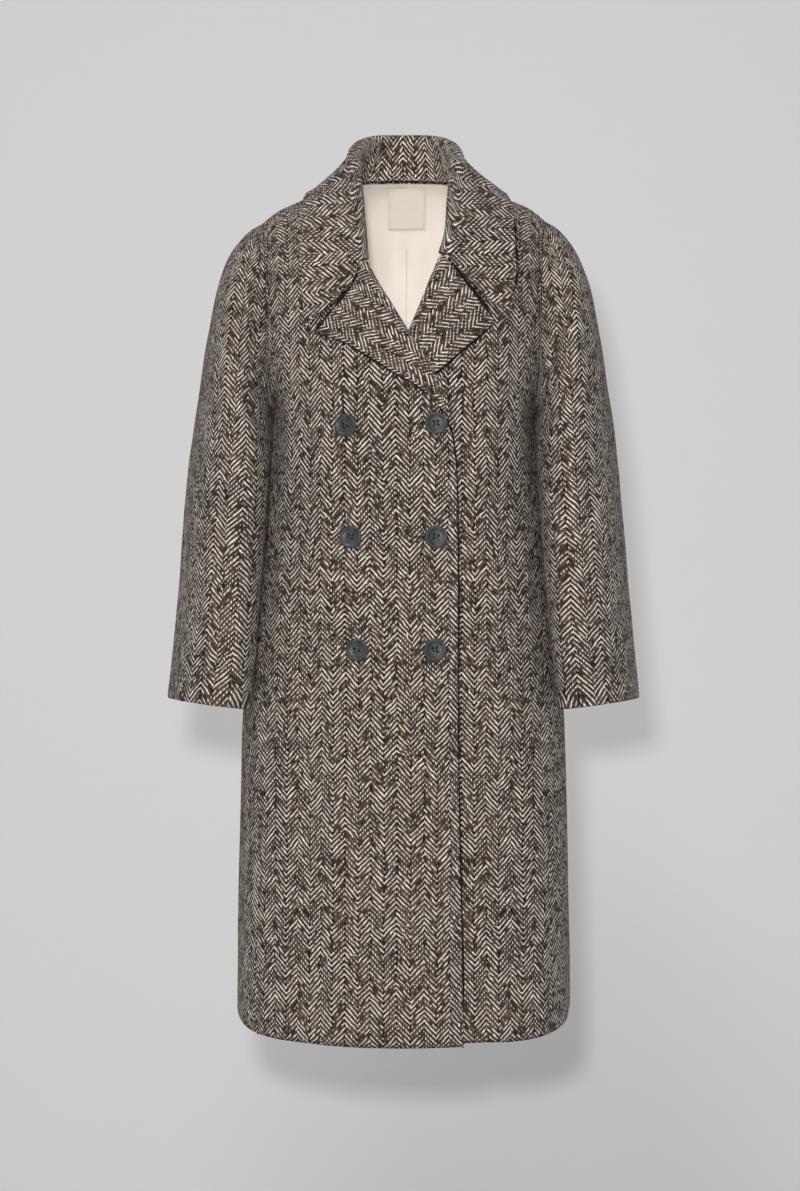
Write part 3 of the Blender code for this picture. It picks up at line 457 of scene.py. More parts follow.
# ------------------------------------------------------------------ folds of worn cloth
# Soft ridges and troughs down the body, by degrees round it (0 is the middle of the front, and
# the wearer's left is positive). Each grows from its start height to full at the next one.
BODY_FOLDS = table(
    "around width lean  depth    start  full    fade",
    (-38,   11,    9,   -0.0030, -0.45, -0.75, -1.30),
    (-62,   10,    6,    0.0034, -0.50, -0.80, -1.30),
    (34,    12,   -8,   -0.0026, -0.48, -0.78, -1.30),
    (58,    10,   -5,    0.0036, -0.55, -0.85, -1.30),
    (-84,   12,    4,   -0.0040, -0.60, -0.95, -1.30),
    (86,    12,   -4,   -0.0040, -0.58, -0.95, -1.30),
    (-12,   12,    0,    0.0016, -0.62, -0.95, -1.30),
    (118,   14,   -9,    0.0060, -0.40, -0.80, -1.30),
    (142,   12,   -5,   -0.0065, -0.35, -0.75, -1.30),
    (168,   12,    3,    0.0055, -0.42, -0.85, -1.30),
    (-166,  12,    4,   -0.0055, -0.38, -0.80, -1.30),
    (-140,  13,    6,    0.0065, -0.40, -0.85, -1.30),
    (-116,  12,    8,   -0.0050, -0.45, -0.80, -1.30),
    (128,   12,   20,   -0.0040, -0.12, -0.24, -0.42),
    (-126,  12,  -18,   -0.0042, -0.13, -0.25, -0.44),
    (90,     11,    0,   0.0056, -0.18, -0.29, -0.55),
    (-90,    11,    0,   0.0060, -0.18, -0.29, -0.55),
    (64,     8,   34,   -0.0022, -0.20, -0.28, -0.40),
    (-62,    8,  -30,   -0.0024, -0.20, -0.29, -0.42),
)
# Folds across a sleeve: where each starts and ends, down the sleeve (0 to 1) and round it in
# degrees from the outer seam (the front is positive).
SLEEVE_FOLDS = table(
    "down_0 round_0 down_1 round_1 width   depth",
    (0.10,   150,    0.30,   60,    0.014, -0.0042),
    (0.22,   165,    0.42,   75,    0.013, -0.0036),
    (0.44,   170,    0.52,   70,    0.012, -0.0042),
    (0.54,   172,    0.56,   60,    0.010, -0.0036),
    (0.64,   165,    0.60,   80,    0.011, -0.0030),
    (0.16,   30,     0.46,   55,    0.018,  0.0026),
    (0.60,   40,     0.95,   62,    0.016, -0.0026),
    (0.70,   110,    0.98,   95,    0.016,  0.0024),
    (0.12,  -150,    0.34,  -70,    0.014, -0.0045),
    (0.26,  -160,    0.48,  -80,    0.013, -0.0040),
    (0.46,  -168,    0.56,  -60,    0.012, -0.0042),
    (0.60,  -90,     0.97,  -70,    0.018, -0.0034),
    (0.50,  -30,     0.90,  -38,    0.016,  0.0026),
    (0.10,   180,    0.76,   180,    0.045,  0.0066),
    (0.10,  -180,    0.76,  -180,    0.045,  0.0066),
)
UNEVEN = table(           # soft bumps of this size and height all over the cloth
    "size    height",
    (0.120,  0.0016),
    (0.035,  0.0005),
    (0.009,  0.00022),
)
NECK_UNEVENNESS = 0.35    # the share of them that is left at the neck
NECK_CALM_Z = (-0.02, -0.16)    # from here down to here they come back
FADING_FROM = 0.4         # how far on from its full height to its end a body fold starts to fade
FOLD_WOBBLE = 0.35        # how much a body fold's depth changes down its length
FOLD_WOBBLE_LENGTH = 0.2
SLEEVE_FOLDS_START = (0.04, 0.20)    # the sleeve's folds grow in this part of its length
SLEEVE_FOLD_SHIFT = 0.02  # how far up or down the sleeve each fold is moved
SLEEVE_FOLD_BEND = 0.004  # how far it strays from a straight line,
SLEEVE_FOLD_BEND_LENGTH = 0.04    # and over what length
SLEEVE_FOLD_WIDTHS = (0.8, 1.2)   # its width at its start and end, as shares
SLEEVE_FOLD_ENDS = 0.35   # its depth before its swelling towards the middle, as a share
SLEEVE_FOLD_TAPER = (0.08, 0.92)  # where along it the swelling starts and ends
LINING_LUMP = 0.06        # size of the lining's soft bumps
LINING_HANGS_Z = (0.0, -0.10)     # the lining hangs free from here down
LINING_FOLDS = table(
    "x       lean    width   depth",
    (-0.045,  0.10,  0.012,  0.0026),
    (-0.020, -0.06,  0.010, -0.0018),
    (0.026,   0.08,  0.011,  0.0024),
    (0.052,  -0.12,  0.013, -0.0020),
)

# ------------------------------------------------------------------ small parts, and what hangs from what
BUTTON_TURNS = (12, -8, 20, 5, -14, 9)    # degrees that each button is turned
STITCH_SIDES = 6
STITCH_PROFILE = ((0.0, 0.35), (0.2, 0.9), (0.5, 1.0), (0.8, 0.9), (1.0, 0.35))    # place, swell
HANGS_FROM = {
    "back": "collar", "lining_back": "back", "collar": "back", "neck_label": "lining_back",
    "front_right": "back", "front_left": "back", "lapel_right": "front_right", "lapel_left": "front_left",
    "pocket_welt_right": "front_right", "pocket_welt_left": "front_left",
    "sleeve_right_front": "front_right", "sleeve_right_back": "back",
    "sleeve_left_front": "front_left", "sleeve_left_back": "back",
}
GRIDS = {}                # and its grid of points
# Painted shade along an edge: a dark tube just inside it, where shade falls. How thick it is, how far
# it looks out past the edge, how far below the cloth's face it lies, how much its thickness varies, and
# its heights.
PAINTED_SHADE_LINES = table(
    "name             cloth                       side     radius  out      depth   uneven top     bottom",
    ("lapel_right",   "cloth_lapel_right",        "last",  0.0016, 0.0004,  0.0031,  0.9,  0.0,   -2.0),
    ("lapel_left",    "cloth_lapel_left",         "first", 0.0017, 0.0006,  0.0030,  0.9,  0.0,   -2.0),
    ("gorge_right",   "cloth_lapel_right",        "top",   0.0023, 0.0006,  0.0020,  1.2, -0.120, -2.0),
    ("gorge_left",    "cloth_lapel_left",         "top",   0.0025, 0.0006,  0.0018,  1.2, -0.112, -2.0),
    ("collar_left",   "cloth_collar",             "left",  0.0013, 0.0001,  0.0030,  2.6, -0.052, -0.150),
    ("front",         "cloth_front_right",        "first", 0.0013, 0.0005,  0.0022,  0.9, -0.262, -1.044),
    ("armhole_right", "cloth_sleeve_right_front", "top",   0.0010, 0.0004,  0.0021,  1.2, -0.03,  -2.0),
    ("armhole_left",  "cloth_sleeve_left_front",  "top",   0.0010, 0.0004,  0.0021,  1.2, -0.03,  -2.0),
)


# ------------------------------------------------------------------ reading the tables
def cubic(a, slope_a, b, slope_b, t):
    """From a to b as t goes from 0 to 1, leaving on one slope and arriving on the other."""
    return (a * ((1 + 2 * t) * (1 - t) ** 2) + slope_a * (t * (1 - t) ** 2)
            + b * (t * t * (3 - 2 * t)) + slope_b * (t * t * (t - 1)))


def look_up(rows, key, name, at):
    """The column's value at a key, on a cubic that never overshoots the table."""
    ordered = sorted(rows, key=lambda row: row[key])
    keys = [row[key] for row in ordered]
    values = [row[name] for row in ordered]
    if at <= keys[0]:
        return values[0]
    if at >= keys[-1]:
        return values[-1]
    steps = [b - a for a, b in zip(keys, keys[1:])]
    slopes = [(b - a) / step for a, b, step in zip(values, values[1:], steps)]
    tangents = [slopes[0]]
    for before, after in zip(slopes, slopes[1:]):
        same_way = before * after > 0
        tangents.append(2 * before * after / (before + after) if same_way else 0.0)
    tangents.append(slopes[-1])
    place = max(index for index, start in enumerate(keys[:-1]) if start <= at)
    step = steps[place]
    return cubic(values[place], tangents[place] * step, values[place + 1], tangents[place + 1] * step,
                 (at - keys[place]) / step)


def mix(a, b, t):
    return a + (b - a) * t


def smooth_step(start, end, at):
    t = min(max((at - start) / (end - start), 0.0), 1.0)
    return t * t * (3 - 2 * t)


# ------------------------------------------------------------------ the coat's form
def body(name, z):
    return look_up(BODY, "z", name, z)


def top_line(x):
    return look_up(TOP_LINE, "x", "z", abs(x))


def rounding(x, z):
    """How far the shoulder has rounded over at this height: 0 on its top line, 1 at the chest."""
    fallen = min(max((top_line(x) - z) / SHOULDER_DROP, 0.0), 1.0)
    return (1 - (1 - fallen) ** SHOULDER_SQUARENESS) ** (1 / SHOULDER_SQUARENESS)


def section_depth(x, z, name):
    reach = min(abs(x) / body("half_width", z), 1.0)
    squareness = body("squareness", z)
    return body(name, z) * (1 - reach ** squareness) ** (1 / squareness)


def front_surface(x, z):
    """y of the coat's front, without the overlap's extra layer."""
    return -section_depth(x, z, "front_depth") * rounding(x, z)


def neckline_back(x):
    """y of the back neckline, and 0 along the shoulder seam."""
    reach = min(abs(x) / NECK_HALF_WIDTH, 1.0)
    return NECK_BACK * math.sqrt(1 - reach ** 2)


def back_surface(x, z):
    start = neckline_back(x)
    return mix(start, section_depth(x, z, "back_depth"), rounding(x, z))


def overlap(side, x, z):
    """How far the wearer's right front stands out over the left one."""
    if side == LEFT:
        return 0.0
    below_gorge = 1 - smooth_step(OVERLAP_TOP, GORGE_Z, z)
    layered = (1 - smooth_step(OVERLAP_FULL, OVERLAP_START, x)) * below_gorge
    over_lapel = ((1 - smooth_step(LAPEL_ROOM_FULL, LAPEL_ROOM_START, x)) * below_gorge
                  * smooth_step(LAPEL_ROOM_BOTTOM, LAPEL_ROOM_TOP, z))
    return layered * (CLOTH + OVERLAP_GAP) + over_lapel * LAPEL_ROOM


def front_point(side, x, z, proud=0.0):
    """A point on a front's outer face, or standing proud of it."""
    return Vector((side * x, front_surface(x, z) - overlap(side, x, z) - proud, z))


def stand_clear(side, point, proud):
    """The point, pushed out until it stands this far proud of the coat's form."""
    at_front = point.y < 0
    probe = 0.0005

    def surface(x, z):
        return front_surface(x, z) - overlap(side, x, z) if at_front else back_surface(x, z)

    z = min(point.z, top_line(point.x) - 3 * probe)
    on_coat = Vector((point.x, surface(point.x, z), z))
    slope_x = (surface(point.x + probe, z) - surface(point.x - probe, z)) / (2 * probe)
    slope_z = (surface(point.x, z + probe) - surface(point.x, z - probe)) / (2 * probe)
    normal = Vector((slope_x, -1, slope_z)) if at_front else Vector((-slope_x, 1, -slope_z))
    normal.normalize()
    distance = normal.dot(point - on_coat)
    return point + normal * max(proud - distance, 0.0)


def settled(point):
    """The point with the wearer's right shoulder hanging a little lower."""
    share = smooth_step(*LOWERED_X, -point.x) * smooth_step(*LOWERED_Z, point.z)
    return point - Vector((0, 0, LOWER_SHOULDER * share))


# ------------------------------------------------------------------ folds of worn cloth
def uneven(point):
    """A small height that changes smoothly from place to place."""
    return sum(row["height"] * noise.noise(point / row["size"]) for row in UNEVEN)


def body_fold(around, z):
    """How far the body's cloth stands out at this place, from its hanging folds."""
    height = 0.0
    for fold in BODY_FOLDS:
        if not fold["fade"] <= z <= fold["start"]:
            continue
        apart = around - fold["around"] - fold["lean"] * (fold["start"] - z)
        apart = (apart + 180) % 360 - 180
        grown = smooth_step(fold["start"], fold["full"], z)
        grown *= 1 - smooth_step(mix(fold["full"], fold["fade"], FADING_FROM), fold["fade"], z)
        wobble = 1 + FOLD_WOBBLE * noise.noise(Vector((fold["around"], 0, z / FOLD_WOBBLE_LENGTH)))
        height += fold["depth"] * grown * wobble * math.exp(-(apart / fold["width"]) ** 2)
    return height


def worn(point):
    """The point as the worn cloth has it: settled on the shoulders, in the body's soft folds."""
    around = math.degrees(math.atan2(point.x, -point.y))
    wide = body("half_width", point.z)
    deep = body("front_depth", point.z)
    outward = Vector((point.x / wide ** 2, point.y / deep ** 2, 0))
    if outward.length < 1e-6:
        return settled(point)
    outward.normalize()
    unevenness = mix(NECK_UNEVENNESS, 1.0, smooth_step(*NECK_CALM_Z, point.z))
    amount = body_fold(around, point.z) + uneven(point) * unevenness
    return settled(point) + outward * amount


# ------------------------------------------------------------------ grids and meshes
def finer(rows, steps):
    """The table with this many steps between each two rows, on smooth curves."""
    names = [name for name in rows[0] if not isinstance(rows[0][name], (bool, str))]
    flags = [name for name in rows[0] if isinstance(rows[0][name], bool)]
    numbered = [dict(row, index=index) for index, row in enumerate(rows)]
    made = []
    for step in range((len(rows) - 1) * steps + 1):
        at = step / steps
        row = {name: look_up(numbered, "index", name, at) for name in names}
        row.update({flag: rows[int(at)][flag] for flag in flags})
        made.append(row)
    return made


def smoothed_down(rows, steps):
    """The grid with this many rows between each two, on smooth curves through its points."""
    made = []
    for r in range(len(rows) - 1):
        before, a, b, after = (rows[max(r - 1, 0)], rows[r], rows[r + 1], rows[min(r + 2, len(rows) - 1)])
        for step in range(steps):
            t = step / steps
            made.append([curve_point(*points, t) for points in zip(before, a, b, after)])
    made.append(list(rows[-1]))
    return made


def curve_point(before, a, b, after, t):
    """A point between a and b on a centripetal curve through all four."""
    step_1 = max((b - a).length, 1e-7) ** 0.5
    step_0 = max((a - before).length, 1e-7) ** 0.5 if before != a else step_1
    step_2 = max((after - b).length, 1e-7) ** 0.5 if after != b else step_1
    slope_a = ((b - a) / step_1 if before == a else
               (a - before) / step_0 - (b - before) / (step_0 + step_1) + (b - a) / step_1)
    slope_b = ((b - a) / step_1 if after == b else
               (b - a) / step_1 - (after - a) / (step_1 + step_2) + (after - b) / step_2)
    return cubic(a, slope_a * step_1, b, slope_b * step_1, t)


def grid_normals(rows):
    """Unit normals of a grid of points, by the right-hand rule from columns to rows."""
    normals = []
    for r, row in enumerate(rows):
        line = []
        for c in range(len(row)):
            along = row[min(c + 1, len(row) - 1)] - row[max(c - 1, 0)]
            down = rows[min(r + 1, len(rows) - 1)][c] - rows[max(r - 1, 0)][c]
            line.append(along.cross(down).normalized())
        normals.append(line)
    return normals


def moved(rows, distance):
    """The grid's points, moved along its normals."""
    return [[point + normal * distance for point, normal in zip(row, line)]
            for row, line in zip(rows, grid_normals(rows))]


def run_along(points):
    """How far each point lies along the line of them."""
    lengths = [0.0]
    for a, b in zip(points, points[1:]):
        lengths.append(lengths[-1] + (b - a).length)
    return lengths


def length_fractions(points):
    lengths = run_along(points)
    return [length / lengths[-1] for length in lengths]


def mirrored(rows):
    return [list(reversed(row)) for row in rows]


def flipped(point, side):
    """A point of the wearer's left half, as it is on this side."""
    return Vector((side * point.x, point.y, point.z))


def worn_grid(rows):
    return [[worn(point) for point in row] for row in rows]


def lapped(edge, inner, overlap):
    """A point of a piece's edge, moved on past a seam, away from the next point in."""
    return edge + (edge - inner).normalized() * overlap


def cut_size(rows):
    """The widest row, the longest column and the area of a grid, in metres."""
    area = 0.0
    for upper, lower in zip(rows, rows[1:]):
        for a, b, c, d in zip(upper, upper[1:], lower[1:], lower):
            area += (c - a).cross(d - b).length / 2
    width = max(run_along(row)[-1] for row in rows)
    length = max(run_along([row[c] for row in rows])[-1] for c in range(len(rows[0])))
    return width, length, area


def link(name, data):
    """A new object in the scene, for a mesh, a curve, a light or a camera."""
    made = bpy.data.objects.new(name, data)
    bpy.context.scene.collection.objects.link(made)
    return made


def edge_places(row_count, column_count):
    """The four edges of a grid, all the same way round: each place and its neighbour inwards."""
    last_row, last_column = row_count - 1, column_count - 1
    return (
        [((0, c), (1, c)) for c in range(column_count)],
        [((r, last_column), (r, last_column - 1)) for r in range(row_count)],
        [((last_row, c), (last_row - 1, c)) for c in reversed(range(column_count))],
        [((r, 0), (r, 1)) for r in reversed(range(row_count))],
    )


def cloth(node, rows, uv, outside, inside=None, thickness=CLOTH, shift=WEAVE_SHIFT["front"],
          mirror=False):
    """A closed shell whose outer face is the grid, standing for a CAD node.

    The weave runs on round its rounded edges. A grid whose columns run the wrong way round for
    its normals to point outwards is mirrored.
    """
    name = f"cloth_{node}"
    if mirror:
        rows, uv = mirrored(rows), mirrored(uv)
    columns = len(rows[0])
    count = len(rows) * columns
    weave = [[Vector((u + shift[0], v + shift[1])) for u, v in line] for line in uv]
    faces, weaves, materials = [], [], []
    for r in range(len(rows) - 1):
        for c in range(columns - 1):
            around = ((r, c), (r, c + 1), (r + 1, c + 1), (r + 1, c))
            outer = [a * columns + b for a, b in around]
            faces += [outer, [count + corner for corner in reversed(outer)]]
            weaves += [[weave[a][b] for a, b in around], [weave[a][b] for a, b in reversed(around)]]
            materials += [0, 1 if inside else 0]
    for edge in edge_places(len(rows), columns):
        for (first, first_in), (second, second_in) in zip(edge, edge[1:]):
            a, b = first[0] * columns + first[1], second[0] * columns + second[1]
            at_a, at_b = weave[first[0]][first[1]], weave[second[0]][second[1]]
            past_a = at_a + (at_a - weave[first_in[0]][first_in[1]]).normalized() * thickness
            past_b = at_b + (at_b - weave[second_in[0]][second_in[1]]).normalized() * thickness
            faces.append([b, a, count + a, count + b])
            weaves.append([at_b, at_a, past_a, past_b])
            materials.append(0)
    mesh = bpy.data.meshes.new(name)
    under = moved(rows, -thickness)
    mesh.from_pydata([point for row in rows + under for point in row], [], faces)
    fabric = mesh.uv_layers.new(name=FABRIC)
    for polygon, places, material in zip(mesh.polygons, weaves, materials):
        polygon.material_index = material
        for loop, place in zip(polygon.loop_indices, places):
            fabric.data[loop].uv = place
    creases = mesh.attributes.new("crease_vert", "FLOAT", "POINT")
    for corner in (0, columns - 1, count - columns, count - 1):
        creases.data[corner].value = 1.0
        creases.data[count + corner].value = 1.0
    mesh.materials.append(outside)
    if inside:
        mesh.materials.append(inside)
    mesh.shade_smooth()
    piece = link(name, mesh)
    rounded = piece.modifiers.new("rounded edges", "SUBSURF")
    rounded.levels = rounded.render_levels = 1
    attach(piece, "root")
    cut_size(rows)
    GRIDS[name] = rows
    return piece


# ------------------------------------------------------------------ materials
class Number:
    """The output of a node, to reckon with: each operation adds a Math node to the material."""

    def __init__(self, shader, socket):
        self.shader = shader
        self.socket = socket

    def __add__(self, other):
        return self.shader.math("ADD", self, other)

    def __sub__(self, other):
        return self.shader.math("SUBTRACT", self, other)

    def __rsub__(self, other):
        return self.shader.math("SUBTRACT", other, self)

    def __mul__(self, other):
        return self.shader.math("MULTIPLY", self, other)

    def __truediv__(self, other):
        return self.shader.math("DIVIDE", self, other)

    def stepped(self, low, high, out_low=0.0, out_high=1.0):
        """Goes smoothly from out_low to out_high as this number goes from low to high."""
        return self.shader.out("MapRange", {0: self, 1: low, 2: high, 3: out_low, 4: out_high},
                               interpolation_type="SMOOTHSTEP")


class Shader:
    """A material's node tree, with short calls for the nodes that the materials share."""

    def __init__(self, name, roughness, specular=0.5):
        self.material = bpy.data.materials.new(name)
        self.material.use_nodes = True
        self.tree = self.material.node_tree
        self.surface = self.tree.nodes["Principled BSDF"]
        self.surface.inputs["Roughness"].default_value = roughness
        self.surface.inputs["Specular IOR Level"].default_value = specular

    def out(self, kind, inputs=None, output=0, **settings):
        """An output of a new node with these inputs and settings."""
        made = self.tree.nodes.new(f"ShaderNode{kind}")
        for name, value in settings.items():
            setattr(made, name, value)
        for name, value in (inputs or {}).items():
            self.put(made.inputs[name], value)
        return Number(self, made.outputs[output])

    def put(self, socket, value):
        if isinstance(value, Number):
            self.tree.links.new(value.socket, socket)
        else:
            socket.default_value = value

    def finish(self, **inputs):
        """Puts these on the surface, by the sockets' names with _ for a space."""
        for name, value in inputs.items():
            self.put(self.surface.inputs[name.replace("_", " ")], value)
        return self.material

    def math(self, operation, *values):
        return self.out("Math", dict(enumerate(values)), operation=operation)

    def vector(self, operation, first, second):
        """Both vectors added or subtracted, or the first one times a number."""
        return self.out("VectorMath", {0: first, "Scale" if operation == "SCALE" else 1: second},
                        operation=operation)

    def parts(self, vector):
        node = self.out("SeparateXYZ", {0: vector}).socket.node
        return [Number(self, output) for output in node.outputs]

    def fabric(self):
        """u, v in metres of cloth, as a vector."""
        return self.out("UVMap", uv_map=FABRIC)

    def body(self):
        """The place in the piece itself, in metres."""
        return self.out("TexCoord", output="Object")

    def noise(self, place, size, detail=2.0, stretch=(1.0, 1.0, 1.0), output=0):
        """0 to 1, in lumps of this size in metres."""
        scaled = self.out("Mapping", {"Vector": place, "Scale": tuple(s / size for s in stretch)})
        return self.out("TexNoise", {"Vector": scaled, "Scale": 1.0, "Detail": detail, "Roughness": 0.55},
                        output)

    def ribs(self, across, pitch):
        """A wave that goes up and down once in each pitch."""
        return self.math("SINE", across * (2 * math.pi / pitch))

    def mixed(self, share, a, b, blend="MIX"):
        a, b = (colour if isinstance(colour, Number) else (*colour, 1.0) for colour in (a, b))
        return self.out("Mix", {0: share, 6: a, 7: b}, 2, data_type="RGBA", blend_type=blend)

    def ramp(self, place, stops):
        """A colour from a table of stops: each one's place, from 0 to 1, and its colour."""
        made = self.out("ValToRGB", {0: place})
        elements = made.socket.node.color_ramp.elements
        for spot, _ in stops[1:-1]:
            elements.new(spot)
        for element, (spot, colour) in zip(elements, stops):
            element.position = spot
            element.color = (*colour, 1.0)
        return made

    def bump(self, height, distance):
        return self.out("Bump", {"Height": height, "Distance": distance, "Strength": 1.0})


def herringbone_tweed():
    """Broken chevrons of cream yarn on taupe and dark brown, with beads, slubs and loose patches."""
    shader = Shader("tweed", 0.95, specular=0.15)
    place = shader.fabric()
    # The yarns wander: in wide swings, in small ones, and wildly where the weave is loose.
    loose = shader.noise(place, LOOSE_PATCH).stepped(0.54, 0.70)
    swung = place
    for size, reach, looser in WANDER:
        wander = shader.noise(place, size, output="Color")
        centred = shader.vector("SUBTRACT", wander, (0.5, 0.5, 0.5))
        far = shader.math("MULTIPLY_ADD", loose, looser, reach)
        swung = shader.vector("ADD", swung, shader.vector("SCALE", centred, far))
    u, v, _ = shader.parts(swung)
    # Stripe by stripe the twill leans one way and then the other, each a little out of step.
    stripe = shader.math("FLOOR", u / STRIPE)
    within = u - stripe * STRIPE
    stepped = shader.math("MULTIPLY_ADD", shader.math("SNAP", within, YARN), YARN_STEP,
                          within * (1 - YARN_STEP))
    lean = shader.math("MULTIPLY_ADD", shader.math("FLOORED_MODULO", stripe, 2.0), -2.0, 1.0)
    climb = (stepped - STRIPE / 2) * CHEVRON_SLOPE
    chance = shader.out("TexWhiteNoise", {"W": stripe}, noise_dimensions="1D")
    count = shader.math("MULTIPLY_ADD", chance, OUT_OF_STEP,
                        shader.math("MULTIPLY_ADD", climb, lean, v) / CHEVRON_PITCH)
    phase = shader.math("FRACT", count)
    number = shader.math("FLOOR", count)
    ground = shader.ramp(phase, GROUND)

    def along_line(size, seed):
        """Noise that changes along each cream line, and from line to line."""
        spot = shader.out("CombineXYZ", {0: u / size, 1: shader.math("MULTIPLY_ADD", number, 3.7, seed),
                                         2: stripe * 7.3})
        return shader.out("TexNoise", {"Vector": spot, "Scale": 1.0, "Detail": 1.0})

    # Each cream line is broken into dashes, and in places into beads.
    dash = along_line(DASH, 0.0).stepped(0.34, 0.50)
    beaded = shader.noise(place, BEADED_PATCH).stepped(0.44, 0.60)
    bead = shader.math("PINGPONG", within, BEAD / 2).stepped(BEAD * 0.12, BEAD * 0.30)
    bead = shader.math("MAXIMUM", bead, 1.0 - beaded)
    offset = shader.math("ABSOLUTE", phase - CREAM_PHASE)
    swelling = along_line(SWELLING, 5.0).stepped(0.25, 0.75, 0.8, 1.5)
    line = (offset / swelling).stepped(CREAM_HALF_WIDTH * 1.25, CREAM_HALF_WIDTH * 0.6)
    slub = shader.noise(place, SLUB, detail=1.0, stretch=(1.0, 0.6, 1.0)).stepped(0.70, 0.75)
    cream = shader.math("MAXIMUM", line * dash * bead, slub)
    # Painted shade in the valleys where the stripes turn, and uneven dye from yarn to yarn and place to
    # place.
    turn = shader.math("MINIMUM", within, STRIPE - within)
    fibres = shader.noise(place, FIBRE, detail=3.0)
    # Dye that changes from fibre to fibre, patch to patch and line to line, times the painted shade of the
    # valleys.
    dye_and_valley_shade = (fibres.stepped(0.25, 0.75, 0.55, 1.45)
           * shader.noise(place, DYE_PATCH).stepped(0.3, 0.7, 0.86, 1.14)
           * along_line(DYED_LENGTH, 9.0).stepped(0.3, 0.7, 0.6, 1.35)
           * turn.stepped(*VALLEY_SIDES, VALLEY_SHADE, 1.0))
    tone = shader.noise(place, COOL_PATCH).stepped(0.45, 0.72) * 0.2
    shaded = shader.vector("SCALE", shader.mixed(tone, ground, COOL_TINT, "SOFT_LIGHT"), dye_and_valley_shade)
    bright = (fibres.stepped(0.3, 0.7, 0.86, 1.0)
              * along_line(SHADED_LENGTH, 2.0).stepped(0.3, 0.7, 0.74, 1.0))
    yarn = shader.vector("SCALE", CREAM_YARN, bright)
    relief = cream * 0.8 + shader.out("RGBToBW", {0: ground}) * 3.0 + fibres * 0.7
    relief = relief * turn.stepped(0.0, VALLEY_RELIEF, 0.4, 1.0)
    return shader.finish(Sheen_Weight=0.03, Sheen_Roughness=0.6,
                         Base_Color=shader.mixed(cream, shaded, yarn),
                         Normal=shader.bump(relief, distance=0.0010))


def satin_lining():
    """Cream satin: a fine twill, uneven gloss and a faint change of tone."""
    shader = Shader("cream_satin", 0.42)
    place = shader.fabric()
    u, v, _ = shader.parts(place)
    soft = shader.noise(place, size=0.045, detail=3.0, stretch=(1.0, 0.35, 1.0))
    fine = shader.noise(place, size=0.0016, stretch=(1.0, 0.2, 1.0))
    warm = shader.mixed(soft.stepped(0.3, 0.7), SATIN_LIGHT, SATIN_DEEP)
    twill = shader.ribs(u + v, SATIN_TWILL) * 0.25
    return shader.finish(Sheen_Weight=0.10, Base_Color=shader.mixed(fine * 0.25, warm, SATIN_DEEP),
                         Roughness=soft.stepped(0.2, 0.8, 0.36, 0.5),
                         Normal=shader.bump(twill + soft, distance=0.0006))


def woven_cloth():
    """The label's ribbon: fine ribs both ways."""
    shader = Shader("woven_label", 0.66)
    place = shader.fabric()
    u, v, _ = shader.parts(place)
    ribs = shader.ribs(u, LABEL_RIBS[0]) + shader.ribs(v, LABEL_RIBS[1])
    clouds = shader.noise(place, size=0.006, detail=3.0)
    return shader.finish(Base_Color=shader.mixed(clouds, LABEL_LIGHT, LABEL_DEEP),
                         Normal=shader.bump(ribs, distance=0.00012))


def charcoal_horn():
    """Button horn: dark, with drawn-out paler streaks and a satin polish."""
    shader = Shader("charcoal_horn", 0.38, specular=0.35)
    place = shader.body()
    streaks = shader.noise(place, size=0.006, detail=3.0, stretch=(1.0, 0.4, 1.0))
    return shader.finish(Base_Color=shader.mixed(streaks.stepped(0.35, 0.75), HORN_DARK, HORN_PALE),
                         Roughness=streaks.stepped(0.3, 0.7, 0.34, 0.50),
                         Normal=shader.bump(shader.noise(place, size=0.0012), distance=0.00005))


def spun_thread(name, colour):
    """Thread, with painted shade between its plies."""
    shader = Shader(name, 0.92, specular=0.15)
    plies = shader.noise(shader.body(), size=0.0005)
    between = tuple(channel * PLY_SHADE for channel in colour)
    return shader.finish(Base_Color=shader.mixed(plies, between, colour),
                         Normal=shader.bump(plies, distance=0.0001))


def studio_paper():
    """Plain pale grey for the wall and floor, which are clear when looked at from behind."""
    shader = Shader("studio_paper", 0.95, specular=0.0)
    clouds = shader.noise(shader.body(), size=0.9, detail=1.0)
    behind = shader.out("NewGeometry", output="Backfacing")
    either = shader.out("MixShader", {0: behind, 1: Number(shader, shader.surface.outputs[0]),
                                      2: shader.out("BsdfTransparent")})
    shader.put(shader.tree.nodes["Material Output"].inputs["Surface"], either)
    return shader.finish(Base_Color=shader.mixed(clouds, PAPER, PAPER_SHADE))


# ------------------------------------------------------------------ fronts and lapels
def fall_lengths(depth_name):
    """How much cloth hangs from the top of the shoulder to each depth below it, as a table."""
    rows = []
    length, last = 0.0, None
    for step in range(FALL_STEPS + 1):
        fall = COAT_LENGTH * (step / FALL_STEPS) ** 2
        z = top_line(GRAIN_X) - fall
        here = Vector((0, section_depth(GRAIN_X, z, depth_name) * rounding(GRAIN_X, z), z))
        length += (here - last).length if last else 0.0
        rows.append({"fall": fall, "length": length})
        last = here
    return rows


def hanging_uv(rows, falls, grain_x):
    """UVs of a panel cut with its stripes upright, plumb at grain_x and even across the body."""
    uv = []
    for row in rows:
        across = run_along([Vector((p.x, p.y, 0)) for p in row])
        nearest = min(range(len(row)), key=lambda c: abs(abs(row[c].x) - grain_x))
        grain = across[nearest] + grain_x - abs(row[nearest].x)
        uv.append([(across[c] - grain, top_line(p.x) - look_up(falls, "fall", "length",
                    top_line(p.x) - p.z)) for c, p in enumerate(row)])
    return uv


def fold_radius(side, z):
    return (look_up(LAPEL[side], "fold_z", "proud", z) + CLOTH) / 2


def front_inner_x(side, z):
    lapel = LAPEL[side]
    if z < lapel[0]["fold_z"]:
        return look_up(FRONT_INNER_EDGE[side], "z", "x", z)
    if z < lapel[-1]["fold_z"]:
        return look_up(lapel, "fold_z", "fold_x", z) + fold_radius(side, z) + FOLD_GAP
    return look_up(NECKLINE, "z", "x", z)


